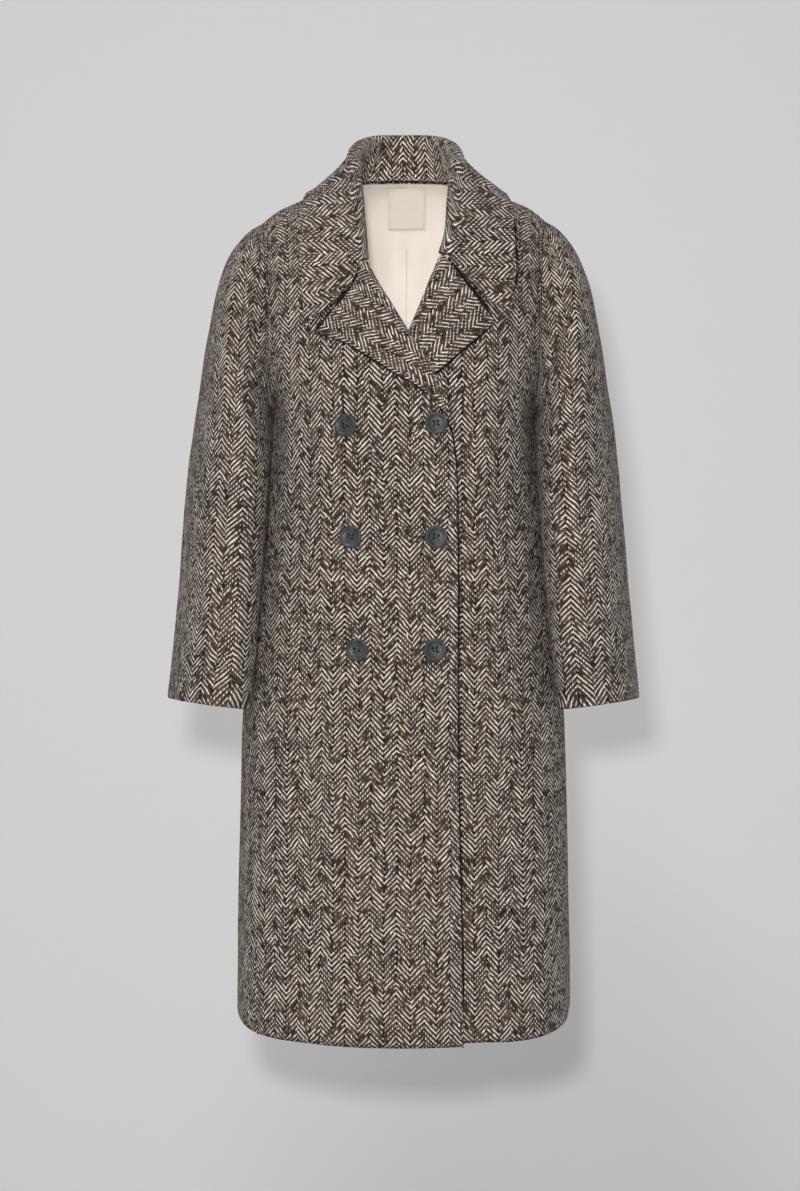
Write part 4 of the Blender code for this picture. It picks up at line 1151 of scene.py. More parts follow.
def hem_z(point):
    """The height of the hem, from how far round the coat the point is."""
    around = math.degrees(math.atan2(abs(point.x), -point.y))
    return look_up(HEM, "around", "z", around)


def hemmed(rows, under=False):
    """A panel's rows with the lowest ones moved up or down, so that the last lies on the hem."""
    bottoms = [point.z for point in rows[-1]]
    for row in rows:
        for point, bottom in zip(row, bottoms):
            if point.z < HEM_FROM_Z:
                lift = UNDER_HEM_LIFT * (1 - smooth_step(*UNDER_HEM_X, abs(point.x))) if under else 0.0
                share = (point.z - HEM_FROM_Z) / (bottom - HEM_FROM_Z)
                point.z = HEM_FROM_Z + (hem_z(point) + lift - HEM_FROM_Z) * share
    return rows


def front_rows(side):
    """From the top row down; each row runs from the inner edge to the outer one."""
    rows = []
    for level in reversed(finer(FRONT_ROWS, FRONT_SUBROWS)):
        inner_z = max(level["inner_z"], FRONT_INNER_EDGE[side][0]["z"])
        inner_x = front_inner_x(side, inner_z)
        outer_x = look_up(FRONT_OUTER_EDGE, "z", "x", level["outer_z"]) - SIDE_SEAM_TRIM
        inner_fall = top_line(inner_x) - inner_z
        outer_fall = top_line(outer_x) - level["outer_z"]
        row = []
        for column in range(FRONT_COLUMNS + 1):
            t = math.sin(math.pi / 2 * column / FRONT_COLUMNS) ** COLUMN_CROWDING
            x = mix(inner_x, outer_x, t)
            row.append(front_point(side, x, top_line(x) - mix(inner_fall, outer_fall, t)))
        rows.append(row)
    return hemmed(rows, under=side == LEFT)


def make_front(side):
    rows = front_rows(side)
    uv = hanging_uv(rows, FRONT_FALLS, GRAIN_X)
    rows = worn_grid(rows)
    rows[0] = [lapped(edge, inner, SHOULDER_SEAM_OVERLAP) for edge, inner in zip(rows[0], rows[1])]
    return cloth(f"front_{SIDE_NAME[side]}", rows, uv, tweed, satin, mirror=side == LEFT)


def lapel_row(side, t, collar_end=False):
    """A line over the lapel from the front's inner face, round the fold, to the outer edge.

    With collar_end it is the same line for the end of the collar, a slit above the lapel.
    """
    rows = LAPEL[side]
    steps = [dict(row, t=index / (len(rows) - 1)) for index, row in enumerate(rows)]
    fold_x, fold_z, edge_x, edge_z, proud = (
        look_up(steps, "t", name, t) for name in ("fold_x", "fold_z", "edge_x", "edge_z", "proud"))
    radius = (proud + CLOTH) / 2
    across = Vector((edge_x - fold_x, 0, edge_z - fold_z)).normalized()
    lift = Vector((-across.z, 0, across.x)) * (GORGE_GAP if collar_end else 0.0)
    base_x = fold_x + radius
    base_y = front_point(side, base_x, fold_z).y
    row = []
    for step in range(FOLD_STEPS + 1):
        angle = math.pi * step / FOLD_STEPS
        row.append(Vector((side * (base_x - radius * math.sin(angle)),
                           base_y + CLOTH - radius + radius * math.cos(angle), fold_z)))
    for step in range(1, LEAF_STEPS + 1):
        s = step / LEAF_STEPS
        bend = min(s / GORGE_BEND_AT, (1 - s) / (1 - GORGE_BEND_AT)) * t ** GORGE_BEND_FADE
        x = mix(base_x, edge_x, s)
        z = mix(fold_z, edge_z, s) - GORGE_BEND[side] * bend
        if collar_end:
            spread = smooth_step(*CORNER_SPREAD, s)
            x += (COLLAR_CORNER[side][0] - edge_x) * spread
            z += (COLLAR_CORNER[side][1] - edge_z) * spread
        stands = mix(proud, LAPEL_EDGE_PROUD, s ** LEAF_SETTLING) + LEAF_CROWN * crown(s, t)
        row.append(front_point(side, x, z, stands))
    return [point + Vector((side * lift.x, 0, lift.z)) for point in row]


def crown(s, t):
    """1 in the middle of a lapel and 0 at its edges, for the soft swell of its two layers."""
    from_foot, from_gorge = CROWN_RISES
    return 4 * s * (1 - s) * min(1.0, from_foot * t, from_gorge * (1 - t))


def make_lapel(side):
    """The stripes run along the lapel's lower edge."""
    rows = [lapel_row(side, r / LAPEL_ROWS) for r in range(LAPEL_ROWS, -1, -1)]
    low, high = LAPEL[side][0], LAPEL[side][-1]
    along = Vector((high["edge_x"] - low["edge_x"], 0, high["edge_z"] - low["edge_z"])).normalized()
    uv = []
    for row in rows:
        lengths = run_along(row)
        fold = row[FOLD_STEPS]
        away = (row[-1] - fold).normalized()
        line = []
        for c, point in enumerate(row):
            flat = fold + away * (lengths[c] - lengths[FOLD_STEPS])
            reach = Vector((side * flat.x - low["edge_x"], 0, flat.z - low["edge_z"]))
            line.append(tuple(LAPEL_WEAVE[side] * s for s in (
                reach.x * along.z - reach.z * along.x, reach.dot(along))))
        uv.append(line)
    rows = worn_grid(rows)
    return cloth(f"lapel_{SIDE_NAME[side]}", rows, uv, tweed, thickness=DOUBLE_CLOTH,
                 shift=WEAVE_SHIFT["lapel"], mirror=side == LEFT)


# ------------------------------------------------------------------ collar
def collar_section(side, station):
    """A line from the neck seam up the stand, over the roll and down the leaf to its edge."""
    def point(kind, at):
        return Vector([look_up(COLLAR, "station", f"{kind}_{axis}", at) for axis in "xyz"])

    neck, fold, edge = (point(kind, station) for kind in ("neck", "fold", "edge"))
    edge.x += side * COLLAR_SKEW * smooth_step(*SKEW_STATIONS["edge"], station)
    fold.x += side * FOLD_SKEW * smooth_step(*SKEW_STATIONS["fold"], station)
    turn = math.radians(look_up(COLLAR, "station", "turn", station))
    radius = look_up(FOLD_RADIUS, "station", "radius", station)
    before, after = max(station - 0.5, 0), min(station + 0.5, LAST_STATION)
    along = (point("fold", after) - point("fold", before)).normalized()
    outward = Vector((math.sin(turn), math.cos(turn), 0))
    outward = (outward - along * outward.dot(along)).normalized()
    upward = along.cross(outward).normalized()
    if upward.dot(fold - neck) < 0:
        upward.negate()
    centre = fold - upward * radius
    level_outward = Vector((outward.x, outward.y, 0))
    inner_foot = neck - level_outward * CLOTH * STAND_SET_IN + Vector((0, 0, STAND_LIFT))
    section = []
    stand_top = centre - outward * radius
    for step in range(COLLAR_STAND_STEPS):
        section.append(inner_foot.lerp(stand_top, step / COLLAR_STAND_STEPS))
    for step in range(FOLD_STEPS + 1):
        angle = math.pi * step / FOLD_STEPS
        section.append(centre + upward * radius * math.sin(angle) - outward * radius * math.cos(angle))
    leaf_top = centre + outward * radius
    start_pull = -upward * (edge - leaf_top).length * LEAF_PULL
    for step in range(1, LEAF_STEPS + 1):
        s = step / LEAF_STEPS
        leaf = cubic(leaf_top, start_pull, edge, edge - leaf_top, s)
        section.append(stand_clear(side, leaf, LAPEL_EDGE_PROUD))
    return [flipped(point, side) for point in section]


def gorge_section(side):
    """The collar's front end: the lapel's top line again, one slit away, with a short stand."""
    row = lapel_row(side, 1.0, collar_end=True)
    foot = Vector((side * STAND_FOOT, 0, 0))
    stand = [row[0] + foot * step / COLLAR_STAND_STEPS for step in range(COLLAR_STAND_STEPS, 0, -1)]
    return stand + row


def collar_uv(rows):
    """Even lengths round the leaf and the stand at the back; level stripes on the leaf's fronts."""
    lengths = [run_along(row) for row in rows]
    leaf = run_along([row[COLLAR_STAND_STEPS + FOLD_STEPS + LEAF_STEPS // 5] for row in rows])
    stand = run_along([row[COLLAR_STAND_STEPS // 2] for row in rows])
    centre = len(rows) // 2
    turned = round(LEAF_TURN_STATION * COLLAR_SUBROWS)
    halfway = COLLAR_STAND_STEPS + FOLD_STEPS + LEAF_STEPS // 2
    uv = []
    for r, row in enumerate(rows):
        side = 1 if r > centre else -1
        turn = rows[centre + side * turned][halfway]
        turn_round = abs(leaf[centre + side * turned] - leaf[centre])
        turn_out = lengths[centre + side * turned][halfway]
        shorter = (leaf[r] - leaf[centre]) - (stand[r] - stand[centre])
        shorter *= 1 - smooth_step(*STAND_EVEN, abs(r / centre - 1))
        level = smooth_step(*LEAF_LEVEL_STATIONS, abs(r - centre) / COLLAR_SUBROWS)
        uv.append([])
        for c, (point, length) in enumerate(zip(row, lengths[r])):
            inside = 1 - smooth_step(COLLAR_STAND_STEPS, COLLAR_STAND_STEPS + FOLD_STEPS, c)
            around = leaf[r] - leaf[centre] - shorter * inside
            level_around = side * (turn_round + turn.z - point.z)
            level_out = turn_out + abs(point.x) - abs(turn.x)
            share = level * (1 - inside)
            uv[r].append((mix(around, level_around, share), mix(length, level_out, share)))
    return uv


def make_collar():
    """The stripes run from the neck seam to the outer edge."""
    left = [collar_section(LEFT, row["station"]) for row in COLLAR] + [gorge_section(LEFT)]
    right = [collar_section(RIGHT, row["station"]) for row in COLLAR[1:]] + [gorge_section(RIGHT)]
    rows = smoothed_down(right[::-1] + left, COLLAR_SUBROWS)
    for r, row in enumerate(rows):
        side = LEFT if r > len(rows) // 2 else RIGHT
        for c in range(COLLAR_STAND_STEPS + FOLD_STEPS, len(row)):
            if row[c].z < top_line(row[c].x) - LEAF_REST_DROP:
                row[c] = flipped(stand_clear(side, flipped(row[c], side), LAPEL_EDGE_PROUD), side)
    uv = collar_uv(rows)
    rows = worn_grid(rows)
    return cloth("collar", rows, uv, tweed, thickness=DOUBLE_CLOTH, shift=WEAVE_SHIFT["collar"])


# ------------------------------------------------------------------ back, lining and label
def back_rows():
    """From the neck down; each row runs from the wearer's right edge to the left one."""
    rows = []
    for level in finer(BACK_ROWS, BACK_SUBROWS):
        edge_x, edge_z = level["edge_x"], level["edge_z"]
        squareness = body("squareness", edge_z)
        reach = min(edge_x / body("half_width", edge_z), 1.0)
        edge_angle = math.asin(reach ** (squareness / 2))
        if level["wraps_forward"]:
            edge_angle = math.pi - edge_angle
        middle_fall = top_line(0) - level["middle_z"]
        edge_fall = top_line(edge_x) - edge_z
        half = []
        for column in range(HALF_BACK_COLUMNS + 1):
            t = column / HALF_BACK_COLUMNS
            angle = edge_angle * t
            if level["wraps_forward"]:
                z = mix(level["middle_z"], edge_z, t)
                x = body("half_width", z) * math.sin(angle) ** (2 / squareness)
                x = edge_x if column == HALF_BACK_COLUMNS else x
                depth = "back_depth" if angle <= math.pi / 2 else "front_depth"
                y = math.copysign(section_depth(x, z, depth), math.cos(angle))
            else:
                neck = NECK_COLUMNS / HALF_BACK_COLUMNS
                even = (NECK_HALF_WIDTH * t / neck if t <= neck
                        else mix(NECK_HALF_WIDTH, edge_x, (t - neck) / (1 - neck)))
                x = mix(body("half_width", edge_z) * math.sin(angle) ** (2 / squareness), even,
                        level["evenly_spaced"])
                x = edge_x if column == HALF_BACK_COLUMNS else x
                hanging = top_line(x) - mix(middle_fall, edge_fall, t)
                straight = mix(level["middle_z"], edge_z, t)
                z = mix(straight, hanging, smooth_step(UNDERARM_Z, STRAIGHTENING_Z, edge_z))
                y = back_surface(x, z)
            half.append(Vector((x, y, z)))
        rows.append([flipped(point, RIGHT) for point in reversed(half[1:])] + half)
    return hemmed(rows)


def make_back():
    rows = back_rows()
    uv = hanging_uv(rows, BACK_FALLS, 0.0)
    rows = worn_grid(rows)
    rows[0] = [lapped(edge, inner, SHOULDER_SEAM_OVERLAP) if abs(edge.x) > NECK_HALF_WIDTH else edge
               for edge, inner in zip(rows[0], rows[1])]
    return cloth("back", rows, uv, tweed, satin, shift=WEAVE_SHIFT["back"])


def make_lining():
    """The back's rows, moved inwards, with soft folds of its own beside the middle seam."""
    rows = moved(back_rows(), -(CLOTH + LAYER_GAP))
    uv = hanging_uv(rows, BACK_FALLS, 0.0)
    soft = []
    for row in rows[:-BACK_SUBROWS // 2]:
        line = []
        for point in row[LINING_SET_IN:-LINING_SET_IN]:
            drape = sum(fold["depth"] * math.exp(-((point.x - fold["x"] - fold["lean"] * point.z)
                                                   / fold["width"]) ** 2) for fold in LINING_FOLDS)
            inwards = LINING_DRAPE * (1 + noise.noise(point / LINING_LUMP)) + drape
            inwards *= smooth_step(*LINING_HANGS_Z, point.z)
            middle = math.exp(-((point.x - LINING_SEAM_X) / LINING_SEAM_WIDTH) ** 2)
            inwards -= LINING_SEAM_DEPTH * middle
            line.append(worn(point) - Vector((0, math.copysign(1, point.y), 0)) * inwards)
        soft.append(line)
    felled = moved(soft, -LINING_TOP_FORWARD)[0]
    soft[0] = [point + Vector((0, 0, LINING_TOP_LIFT)) for point in felled]
    uv = [line[LINING_SET_IN:-LINING_SET_IN] for line in uv[:len(soft)]]
    return cloth("lining_back", soft, uv, satin, thickness=LINING_CLOTH)


def label_point(x, z, lift):
    """A point on the inside of the back, this far in from the lining."""
    on_back = worn(Vector((x, back_surface(x, z), z)))
    return on_back - Vector((0, CLOTH + LAYER_GAP + LINING_CLOTH + LINING_DRAPE + lift, 0))


def make_label():
    """The bare label, a little slack between its stitched edges, and its stitches."""
    rows, uv = [], []
    for r in range(LABEL_STEPS + 1):
        row, line = [], []
        for c in range(LABEL_STEPS + 1):
            across, down = c / LABEL_STEPS, r / LABEL_STEPS
            x = LABEL_CENTRE_X + LABEL_WIDTH * (across - 0.5)
            z = LABEL_TOP_Z - LABEL_HEIGHT * down
            middling = 4 * across * (1 - across) * 4 * down * (1 - down)
            lump = noise.noise(Vector((across * LABEL_LUMPS, down * LABEL_LUMPS, 2)))
            slack = LABEL_SLACK * middling * (1 + LABEL_UNEVEN * lump)
            row.append(label_point(x, z, LABEL_LIFT + slack))
            line.append((x, z))
        rows.append(row)
        uv.append(line)
    label = cloth("neck_label", rows, uv, woven, thickness=LINING_CLOTH, mirror=True)
    inset = LABEL_STITCH_INSET
    wide, high = LABEL_WIDTH - 2 * inset, LABEL_HEIGHT - 2 * inset
    top, bottom = -inset, -inset - high
    corners = [(-wide / 2, top), (wide / 2, top), (wide / 2, bottom), (-wide / 2, bottom)]
    line = []
    for (x0, z0), (x1, z1) in zip(corners, corners[1:] + corners[:1]):
        count = max(round(math.hypot(x1 - x0, z1 - z0) / LABEL_STITCH), 2)
        for step in range(count):
            ends = [(step + share) / count for share in LABEL_STITCH_ENDS]
            line.append([label_point(LABEL_CENTRE_X + mix(x0, x1, t), LABEL_TOP_Z + mix(z0, z1, t),
                                     LABEL_STITCH_LIFT) for t in ends])
    stitch_mesh("label_stitches", line, THREAD, tan_thread)
    return label


# ------------------------------------------------------------------ sleeves
def armhole(front):
    """Points from the shoulder point down to the underarm, along the front or the back."""
    if front:
        heights = [row["outer_z"] for row in reversed(finer(FRONT_ROWS, SLEEVE_SUBCOLUMNS))
                   if row["outer_z"] >= UNDERARM_Z]
        return [front_point(LEFT, look_up(FRONT_OUTER_EDGE, "z", "x", z), z) for z in heights]
    levels = [row for row in finer(BACK_ROWS, SLEEVE_SUBCOLUMNS) if row["edge_z"] >= UNDERARM_Z]
    return [Vector((row["edge_x"], 0.0 if row["wraps_forward"]
                    else back_surface(row["edge_x"], row["edge_z"]), row["edge_z"])) for row in levels]


def sleeve_rows(side, front):
    """From the armhole down; each row runs from the outer seam to the inner one."""
    rim = armhole(front)
    fractions = length_fractions(rim)
    rows = [[point + Vector((ARMHOLE_GAP, 0, 0)) for point in rim]]
    for ring in SLEEVE:
        outer = Vector((ring["out_x"], ring["out_y"], ring["out_z"]))
        inner = Vector((ring["in_x"], ring["in_y"], ring["in_z"]))
        centre = (outer + inner) / 2
        half = (outer - inner) / 2
        seam = math.radians(ring["seam_deg"])
        row = []
        for t in fractions:
            angle = mix(seam, math.pi, t) if front else mix(seam, -math.pi, t)
            depth = ring["front"] if angle >= 0 else ring["back"]
            forward = Vector((-ring["lean"], -1, 0)) * depth
            row.append(centre + half * math.cos(angle) + forward * math.sin(angle))
        rows.append(row)
    return [[flipped(point, side) for point in row] for row in smoothed_down(rows, SLEEVE_SUBROWS)]


def segment_distance(point, start, end):
    """How far a point in the plane is from a segment, and where along it the nearest place is."""
    span = (end[0] - start[0], end[1] - start[1])
    along = ((point[0] - start[0]) * span[0] + (point[1] - start[1]) * span[1]) / (
        span[0] ** 2 + span[1] ** 2)
    along = min(max(along, 0.0), 1.0)
    near = (start[0] + span[0] * along, start[1] + span[1] * along)
    return math.hypot(point[0] - near[0], point[1] - near[1]), along


def on_sleeve(down, angle):
    """Metres down a sleeve and round it, for a share of its length and an angle in degrees."""
    return down * SLEEVE_LENGTH, angle / 360 * SLEEVE_GIRTH


def sleeve_fold(side, down, angle):
    """How far a sleeve's cloth stands out here: down it from 0 to 1, and round it in degrees."""
    here = on_sleeve(down, angle)
    height = 0.0
    for number, fold in enumerate(SLEEVE_FOLDS):
        shift = SLEEVE_FOLD_SHIFT * noise.noise(Vector((number, side * 3, 0)))
        start, end = (on_sleeve(fold[f"down_{end}"] + shift, fold[f"round_{end}"]) for end in (0, 1))
        apart, along = segment_distance(here, start, end)
        place = Vector((*(metres / SLEEVE_FOLD_BEND_LENGTH for metres in here), number))
        apart += SLEEVE_FOLD_BEND * noise.noise(place)
        width = fold["width"] * mix(*SLEEVE_FOLD_WIDTHS, along)
        start, end = SLEEVE_FOLD_TAPER
        swelling = mix(SLEEVE_FOLD_ENDS, 1.0, math.sin(math.pi * min(max(along, start), end)))
        height += fold["depth"] * math.exp(-(apart / width) ** 2) * swelling
    return height


def sleeve_uv(side, front, rows):
    """Stripes down the arm: u round it from its foremost or rearmost line, v down its outside."""
    outside = [armhole(front)[0]] + [Vector((ring["out_x"], 0, ring["out_z"])) for ring in SLEEVE]
    falls = [{"z": place.z, "length": length} for place, length in zip(outside, run_along(outside))]
    way, reach = (-1, "front") if front else (1, "back")
    uv = []
    for row in rows:
        uv.append([])
        for point in row:
            out_x, in_x, out_y, in_y, depth = (look_up(SLEEVE, "out_z", name, point.z)
                                               for name in ("out_x", "in_x", "out_y", "in_y", reach))
            turn = math.atan2(way * (point.y - (out_y + in_y) / 2), side * point.x - (out_x + in_x) / 2)
            if turn < -math.pi / 2:
                turn += 2 * math.pi
            radius = depth * (1 - SLEEVE_FLATNESS * abs(math.cos(turn)))
            uv[-1].append(((math.pi / 2 - turn) * radius, -look_up(falls, "z", "length", point.z)))
    return uv


def make_sleeve(side, front):
    rows = sleeve_rows(side, front)
    fractions = length_fractions(armhole(front))
    uv = sleeve_uv(side, front, rows)
    if (side == LEFT) != front:
        rows, uv, fractions = mirrored(rows), mirrored(uv), fractions[::-1]
    made = []
    for r, (row, normals) in enumerate(zip(rows, grid_normals(rows))):
        line = []
        down = r / (len(rows) - 1)
        grown = smooth_step(*SLEEVE_FOLDS_START, down)
        for point, normal, fraction in zip(row, normals, fractions):
            angle = (180 if front else -180) * fraction
            height = sleeve_fold(side, down, angle) * grown + uneven(point)
            line.append(settled(point) + normal * height)
        line[0] = lapped(line[0], line[1], SLEEVE_SEAM_OVERLAP)
        line[-1] = lapped(line[-1], line[-2], SLEEVE_SEAM_OVERLAP)
        made.append(line)
    half = "front" if front else "back"
    u, v = WEAVE_SHIFT["sleeve"]
    shift = (u + SLEEVE_SHIFT_STEP[0] * front, v + SLEEVE_SHIFT_STEP[1] * side)
    return cloth(f"sleeve_{SIDE_NAME[side]}_{half}", made, uv, tweed, satin, shift=shift)


def make_welt(side):
    """An upright pocket welt, lying on its front and matched to it, but for a small step."""
    rows = []
    for r in range(WELT_ROWS + 1):
        z = mix(WELT_LINE[-1]["z"], WELT_LINE[0]["z"], r / WELT_ROWS)
        middle = look_up(WELT_LINE, "z", "x", z)
        columns = [middle + WELT_WIDTH * (c / WELT_COLUMNS - 0.5) for c in range(WELT_COLUMNS + 1)]
        row = [front_point(side, x, z, WELT_PROUD) for x in columns]
        rows.append(row)
    uv = hanging_uv(rows, FRONT_FALLS, GRAIN_X)
    rows = worn_grid(rows)
    return cloth(f"pocket_welt_{SIDE_NAME[side]}", rows, uv, tweed, thickness=WELT_PROUD,
                 shift=WELT_PATTERN_STEP, mirror=side == LEFT)


# ------------------------------------------------------------------ stitches and buttons
def stitch_mesh(name, segments, radius, material):
    """One mesh of short straight stitches, each from a to b, round in section and thin at its ends."""
    shape = bmesh.new()
    angles = [2 * math.pi * k / STITCH_SIDES for k in range(STITCH_SIDES)]
    for a, b in segments:
        span = b - a
        side = span.orthogonal().normalized()
        other = span.cross(side).normalized()
        rings = []
        for at, swell in STITCH_PROFILE:
            middle = a + span * at
            rings.append([shape.verts.new(middle + (side * math.cos(angle) + other * math.sin(angle))
                                          * radius * swell) for angle in angles])
        for first, second in zip(rings, rings[1:]):
            for k in range(STITCH_SIDES):
                after = (k + 1) % STITCH_SIDES
                shape.faces.new((first[k], first[after], second[after], second[k]))
        shape.faces.new(list(reversed(rings[0])))
        shape.faces.new(rings[-1])
    bmesh.ops.recalc_face_normals(shape, faces=shape.faces)
    mesh = bpy.data.meshes.new(name)
    shape.to_mesh(mesh)
    shape.free()
    mesh.materials.append(material)
    mesh.shade_smooth()
    piece = link(name, mesh)
    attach(piece, "root")


def button_mesh():
    """A turned four-hole button, finished as one mesh."""
    mesh = bpy.data.meshes.new("button_profile")
    mesh.from_pydata([(row["radius"] * BUTTON_RADIUS, 0, row["height"] * BUTTON_HEIGHT)
                      for row in BUTTON_OUTLINE],
                     [(i, i + 1) for i in range(len(BUTTON_OUTLINE) - 1)], [])
    turned = link("button_turned", mesh)
    lathe = turned.modifiers.new("turned", "SCREW")
    lathe.steps = lathe.render_steps = BUTTON_SIDES
    lathe.use_merge_vertices = True
    lathe.merge_threshold = 0.00001
    smooth = turned.modifiers.new("smooth", "SUBSURF")
    smooth.levels = smooth.render_levels = 1
    holes = bmesh.new()
    for across in (-0.5, 0.5):
        for up in (-0.5, 0.5):
            rod = bmesh.ops.create_cone(holes, cap_ends=True, segments=16, radius1=HOLE_RADIUS,
                                        radius2=HOLE_RADIUS, depth=4 * BUTTON_HEIGHT)
            bmesh.ops.translate(holes, verts=rod["verts"],
                                vec=(across * HOLE_SPACING, up * HOLE_SPACING, 0))
    rods = bpy.data.meshes.new("thread_holes")
    holes.to_mesh(rods)
    holes.free()
    cutter = link("thread_holes", rods)
    cut = turned.modifiers.new("holes", "BOOLEAN")
    cut.operation = "DIFFERENCE"
    cut.object = cutter
    finished = bpy.data.meshes.new_from_object(turned.evaluated_get(bpy.context.evaluated_depsgraph_get()))
    finished.name = "button"
    for spare in (turned, cutter):
        bpy.data.objects.remove(spare)
    finished.materials.clear()
    finished.materials.append(horn)
    finished.shade_smooth()
    return finished


def front_frame(x, z):
    """A place on the top front, and its directions across, up and out, as a 4x4 matrix."""
    def place(right, up):
        return worn(front_point(RIGHT, -x - right * FRAME_STEP, z + up * FRAME_STEP))

    across = place(1, 0) - place(-1, 0)
    upward = place(0, 1) - place(0, -1)
    outward = across.cross(upward).normalized()
    across = (across - outward * across.dot(outward)).normalized()
    upward = outward.cross(across)
    return Matrix((across, upward, outward)).transposed().to_4x4(), place(0, 0)


def make_button(spec, shared, number):
    turn, base = front_frame(spec["x"], spec["z"])
    name = f"{SIDE_NAME[spec['side']]}_{spec['row']}"
    piece = link(f"horn_button_{name}", shared)
    spun = Matrix.Rotation(math.radians(BUTTON_TURNS[number]), 4, "Z")
    place = Matrix.Translation(base + turn.col[2].to_3d() * BUTTON_GAP) @ turn @ spun
    piece.matrix_world = place
    bpy.context.view_layer.update()
    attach(piece, "root")
    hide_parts(f"button_{name}")
    reach = HOLE_SPACING / 2
    floor = BUTTON_HEIGHT * BUTTON_OUTLINE[0]["height"] - THREAD * THREAD_SUNK
    loops = [[place @ Vector((x + beside * THREAD, y, floor)) for y in (-reach, reach)]
             for x in (-reach, reach) for beside in (-THREADS_APART, THREADS_APART)]
    stitch_mesh(f"button_thread_{name}", loops, THREAD, dark_thread)


def make_painted_shade_line(spec):
    """A dark uneven tube of painted shade, just inside one edge of a piece."""
    rows = GRIDS[spec["cloth"]]
    normals = grid_normals(rows)
    if spec["side"] == "top":
        rim = list(zip(rows[0], rows[1], normals[0]))
    else:
        at, inner = (0, 1) if spec["side"] == "first" else (-1, -2)
        rim = [(row[at], row[inner], line[at]) for row, line in zip(rows, normals)]
    if spec["side"] == "left":
        rim = [place for place in rim if place[0].x > 0]
    path = [edge + (edge - inner).normalized() * spec["out"] - normal * spec["depth"]
            for edge, inner, normal in rim if spec["bottom"] < edge.z < spec["top"]]
    along = run_along(path)
    curve = bpy.data.curves.new(f"painted_shade_line_{spec['name']}", "CURVE")
    curve.dimensions = "3D"
    curve.bevel_depth = spec["radius"]
    curve.bevel_resolution = 2
    curve.materials.append(painted_shade_wool)
    spline = curve.splines.new("POLY")
    spline.points.add(len(path) - 1)
    for knot, place, length in zip(spline.points, path, along):
        end = smooth_step(0.0, PAINTED_SHADE_LINE_TAPER, min(length, along[-1] - length))
        knot.co = (*place, 1)
        swelling = PAINTED_SHADE_LINE_SHARE + spec["uneven"] * noise.noise(place / PAINTED_SHADE_LINE_WOBBLE)
        knot.radius = max(swelling, 0.0) * end
    piece = link(curve.name, curve)
    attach(piece, "root")


def make_buttonhole(spec):
    """The worked end of a buttonhole, running out from under its button towards the middle."""
    stitches = []
    for step in range(BUTTONHOLE_STITCHES + 1):
        x = spec["x"] - BUTTONHOLE_LENGTH * step / BUTTONHOLE_STITCHES
        turn, base = front_frame(x, spec["z"])
        up, out = turn.col[1].to_3d(), turn.col[2].to_3d()
        near, far = (base + out * THREAD * height for height in STITCH_HEIGHTS)
        for way in (-1, 1):
            inner = near + up * way * THREAD * SLIT_HALF_WIDTH
            stitches.append((inner, far + up * way * BUTTONHOLE_WIDTH / 2))
    stitch_mesh(f"buttonhole_{spec['row']}", stitches, BUTTONHOLE_THREAD, brown_thread)


def make_lining_seam():
    """The small stitches of the lining's middle seam, from below the label to the hem."""
    count = round((LINING_SEAM_TOP - LINING_SEAM_END) / SEAM_STITCH)
    line = []
    for step in range(count):
        ends = []
        for share in SEAM_STITCH_ENDS:
            z = LINING_SEAM_TOP - SEAM_STITCH * (step + share)
            x = LINING_SEAM_X + SEAM_STRAY * noise.noise(Vector((0, 0, z / SEAM_STRAY_LENGTH)))
            ends.append(label_point(x, z, LINING_SEAM_LIFT))
        line.append(ends)
    stitch_mesh("lining_seam", line, THREAD, tan_thread)


# ------------------------------------------------------------------ building the coat
tweed = herringbone_tweed()
satin = satin_lining()
woven = woven_cloth()
horn = charcoal_horn()
tan_thread = spun_thread("tan_thread", THREAD_TAN)
brown_thread = spun_thread("brown_thread", THREAD_BROWN)
dark_thread = spun_thread("dark_thread", THREAD_DARK)
# near-black wool for the tubes of painted shade along the edges
painted_shade_wool = spun_thread("painted_shade_wool", PAINTED_SHADE_WOOL)

FRONT_FALLS = fall_lengths("front_depth")
BACK_FALLS = fall_lengths("back_depth")

pieces = {"back": make_back(), "lining_back": make_lining(), "collar": make_collar(),
        "neck_label": make_label()}
for side in (RIGHT, LEFT):
    name = SIDE_NAME[side]
    pieces[f"front_{name}"] = make_front(side)
    pieces[f"lapel_{name}"] = make_lapel(side)
    pieces[f"pocket_welt_{name}"] = make_welt(side)
    for is_front in (True, False):
        pieces[f"sleeve_{name}_{'front' if is_front else 'back'}"] = make_sleeve(side, is_front)
for node, piece in pieces.items():
    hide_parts(node)

horn_button = button_mesh()
for number, spec in enumerate(BUTTONS):
    make_button(spec, horn_button, number)
    if spec["side"] == LEFT:
        make_buttonhole(spec)
make_lining_seam()
# Tubes of painted shade along the lapels, gorges, collar, front edge and armholes.
for spec in PAINTED_SHADE_LINES:
    make_painted_shade_line(spec)

for node, hangs_from in HANGS_FROM.items():
    piece = pieces[node]


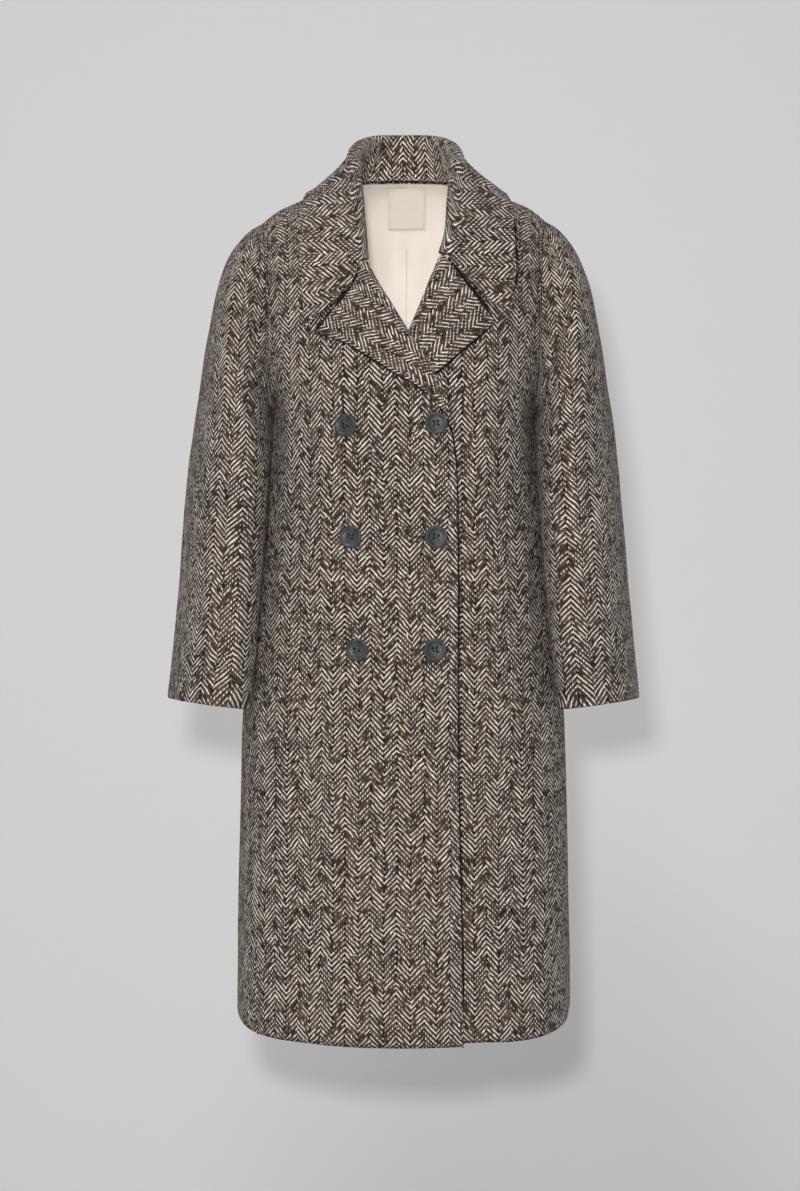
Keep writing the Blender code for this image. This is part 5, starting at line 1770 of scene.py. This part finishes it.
# ------------------------------------------------------------------ studio
def make_room():
    """One sheet of pale paper: a wall, a curve, and a floor that runs out past the camera."""
    floor_z = cad_box[0][2] - FLOOR_BELOW
    line = [(WALL_Y, WALL_TOP), (WALL_Y, floor_z + SWEEP_RADIUS)]
    for step in range(1, SWEEP_STEPS + 1):
        angle = math.pi / 2 * step / SWEEP_STEPS
        line.append((WALL_Y - SWEEP_RADIUS * (1 - math.cos(angle)),
                     floor_z + SWEEP_RADIUS * (1 - math.sin(angle))))
    line.append((FLOOR_FRONT, floor_z))
    mesh = bpy.data.meshes.new("room")
    half = ROOM_WIDTH / 2
    mesh.from_pydata([(x, y, z) for y, z in line for x in (-half, half)], [],
                     [(2 * i, 2 * i + 2, 2 * i + 3, 2 * i + 1) for i in range(len(line) - 1)])
    mesh.materials.append(studio_paper())
    mesh.shade_smooth()
    room = link("room", mesh)


def hang_lamp(name, place, target, size, share):
    beam = Vector(target) - Vector(place)
    light = bpy.data.lights.new(name, "AREA")
    light.shape = "DISK"
    light.size = size
    light.energy = share * (math.pi * beam.length) ** 2
    holder = link(name, light)
    holder.location = place
    holder.rotation_euler = beam.to_track_quat("-Z", "Y").to_euler()
    holder.visible_camera = False


def light_the_world():
    """Even pale light all round; the camera and the gloss see the paper's grey beyond the room."""
    world = bpy.data.worlds.new("studio")
    bpy.context.scene.world = world
    world.use_nodes = True
    tree = world.node_tree
    backdrop = tree.nodes["Background"]
    path = tree.nodes.new("ShaderNodeLightPath")
    seen = tree.nodes.new("ShaderNodeMath")
    seen.operation = "MAXIMUM"
    tree.links.new(path.outputs["Is Camera Ray"], seen.inputs[0])
    tree.links.new(path.outputs["Is Glossy Ray"], seen.inputs[1])
    either = tree.nodes.new("ShaderNodeMix")
    either.data_type = "RGBA"
    tree.links.new(seen.outputs[0], either.inputs[0])
    for socket, grey in ((6, AMBIENT), (7, BACKGROUND_GREY)):
        either.inputs[socket].default_value = (grey, grey, grey, 1)
    tree.links.new(either.outputs[2], backdrop.inputs["Color"])


make_room()
for settings in LAMPS:
    hang_lamp(*settings)
light_the_world()

camera = bpy.data.cameras.new("camera")
camera.sensor_fit = "VERTICAL"
camera.sensor_height = SENSOR
camera.lens = SENSOR * -CAMERA_AT[1] / PICTURE_HEIGHT
camera_holder = link("camera", camera)
camera_holder.location = CAMERA_AT
camera_holder.rotation_euler = (math.pi / 2, 0, 0)
bpy.context.scene.camera = camera_holder
bpy.context.scene.view_settings.view_transform = "Standard"
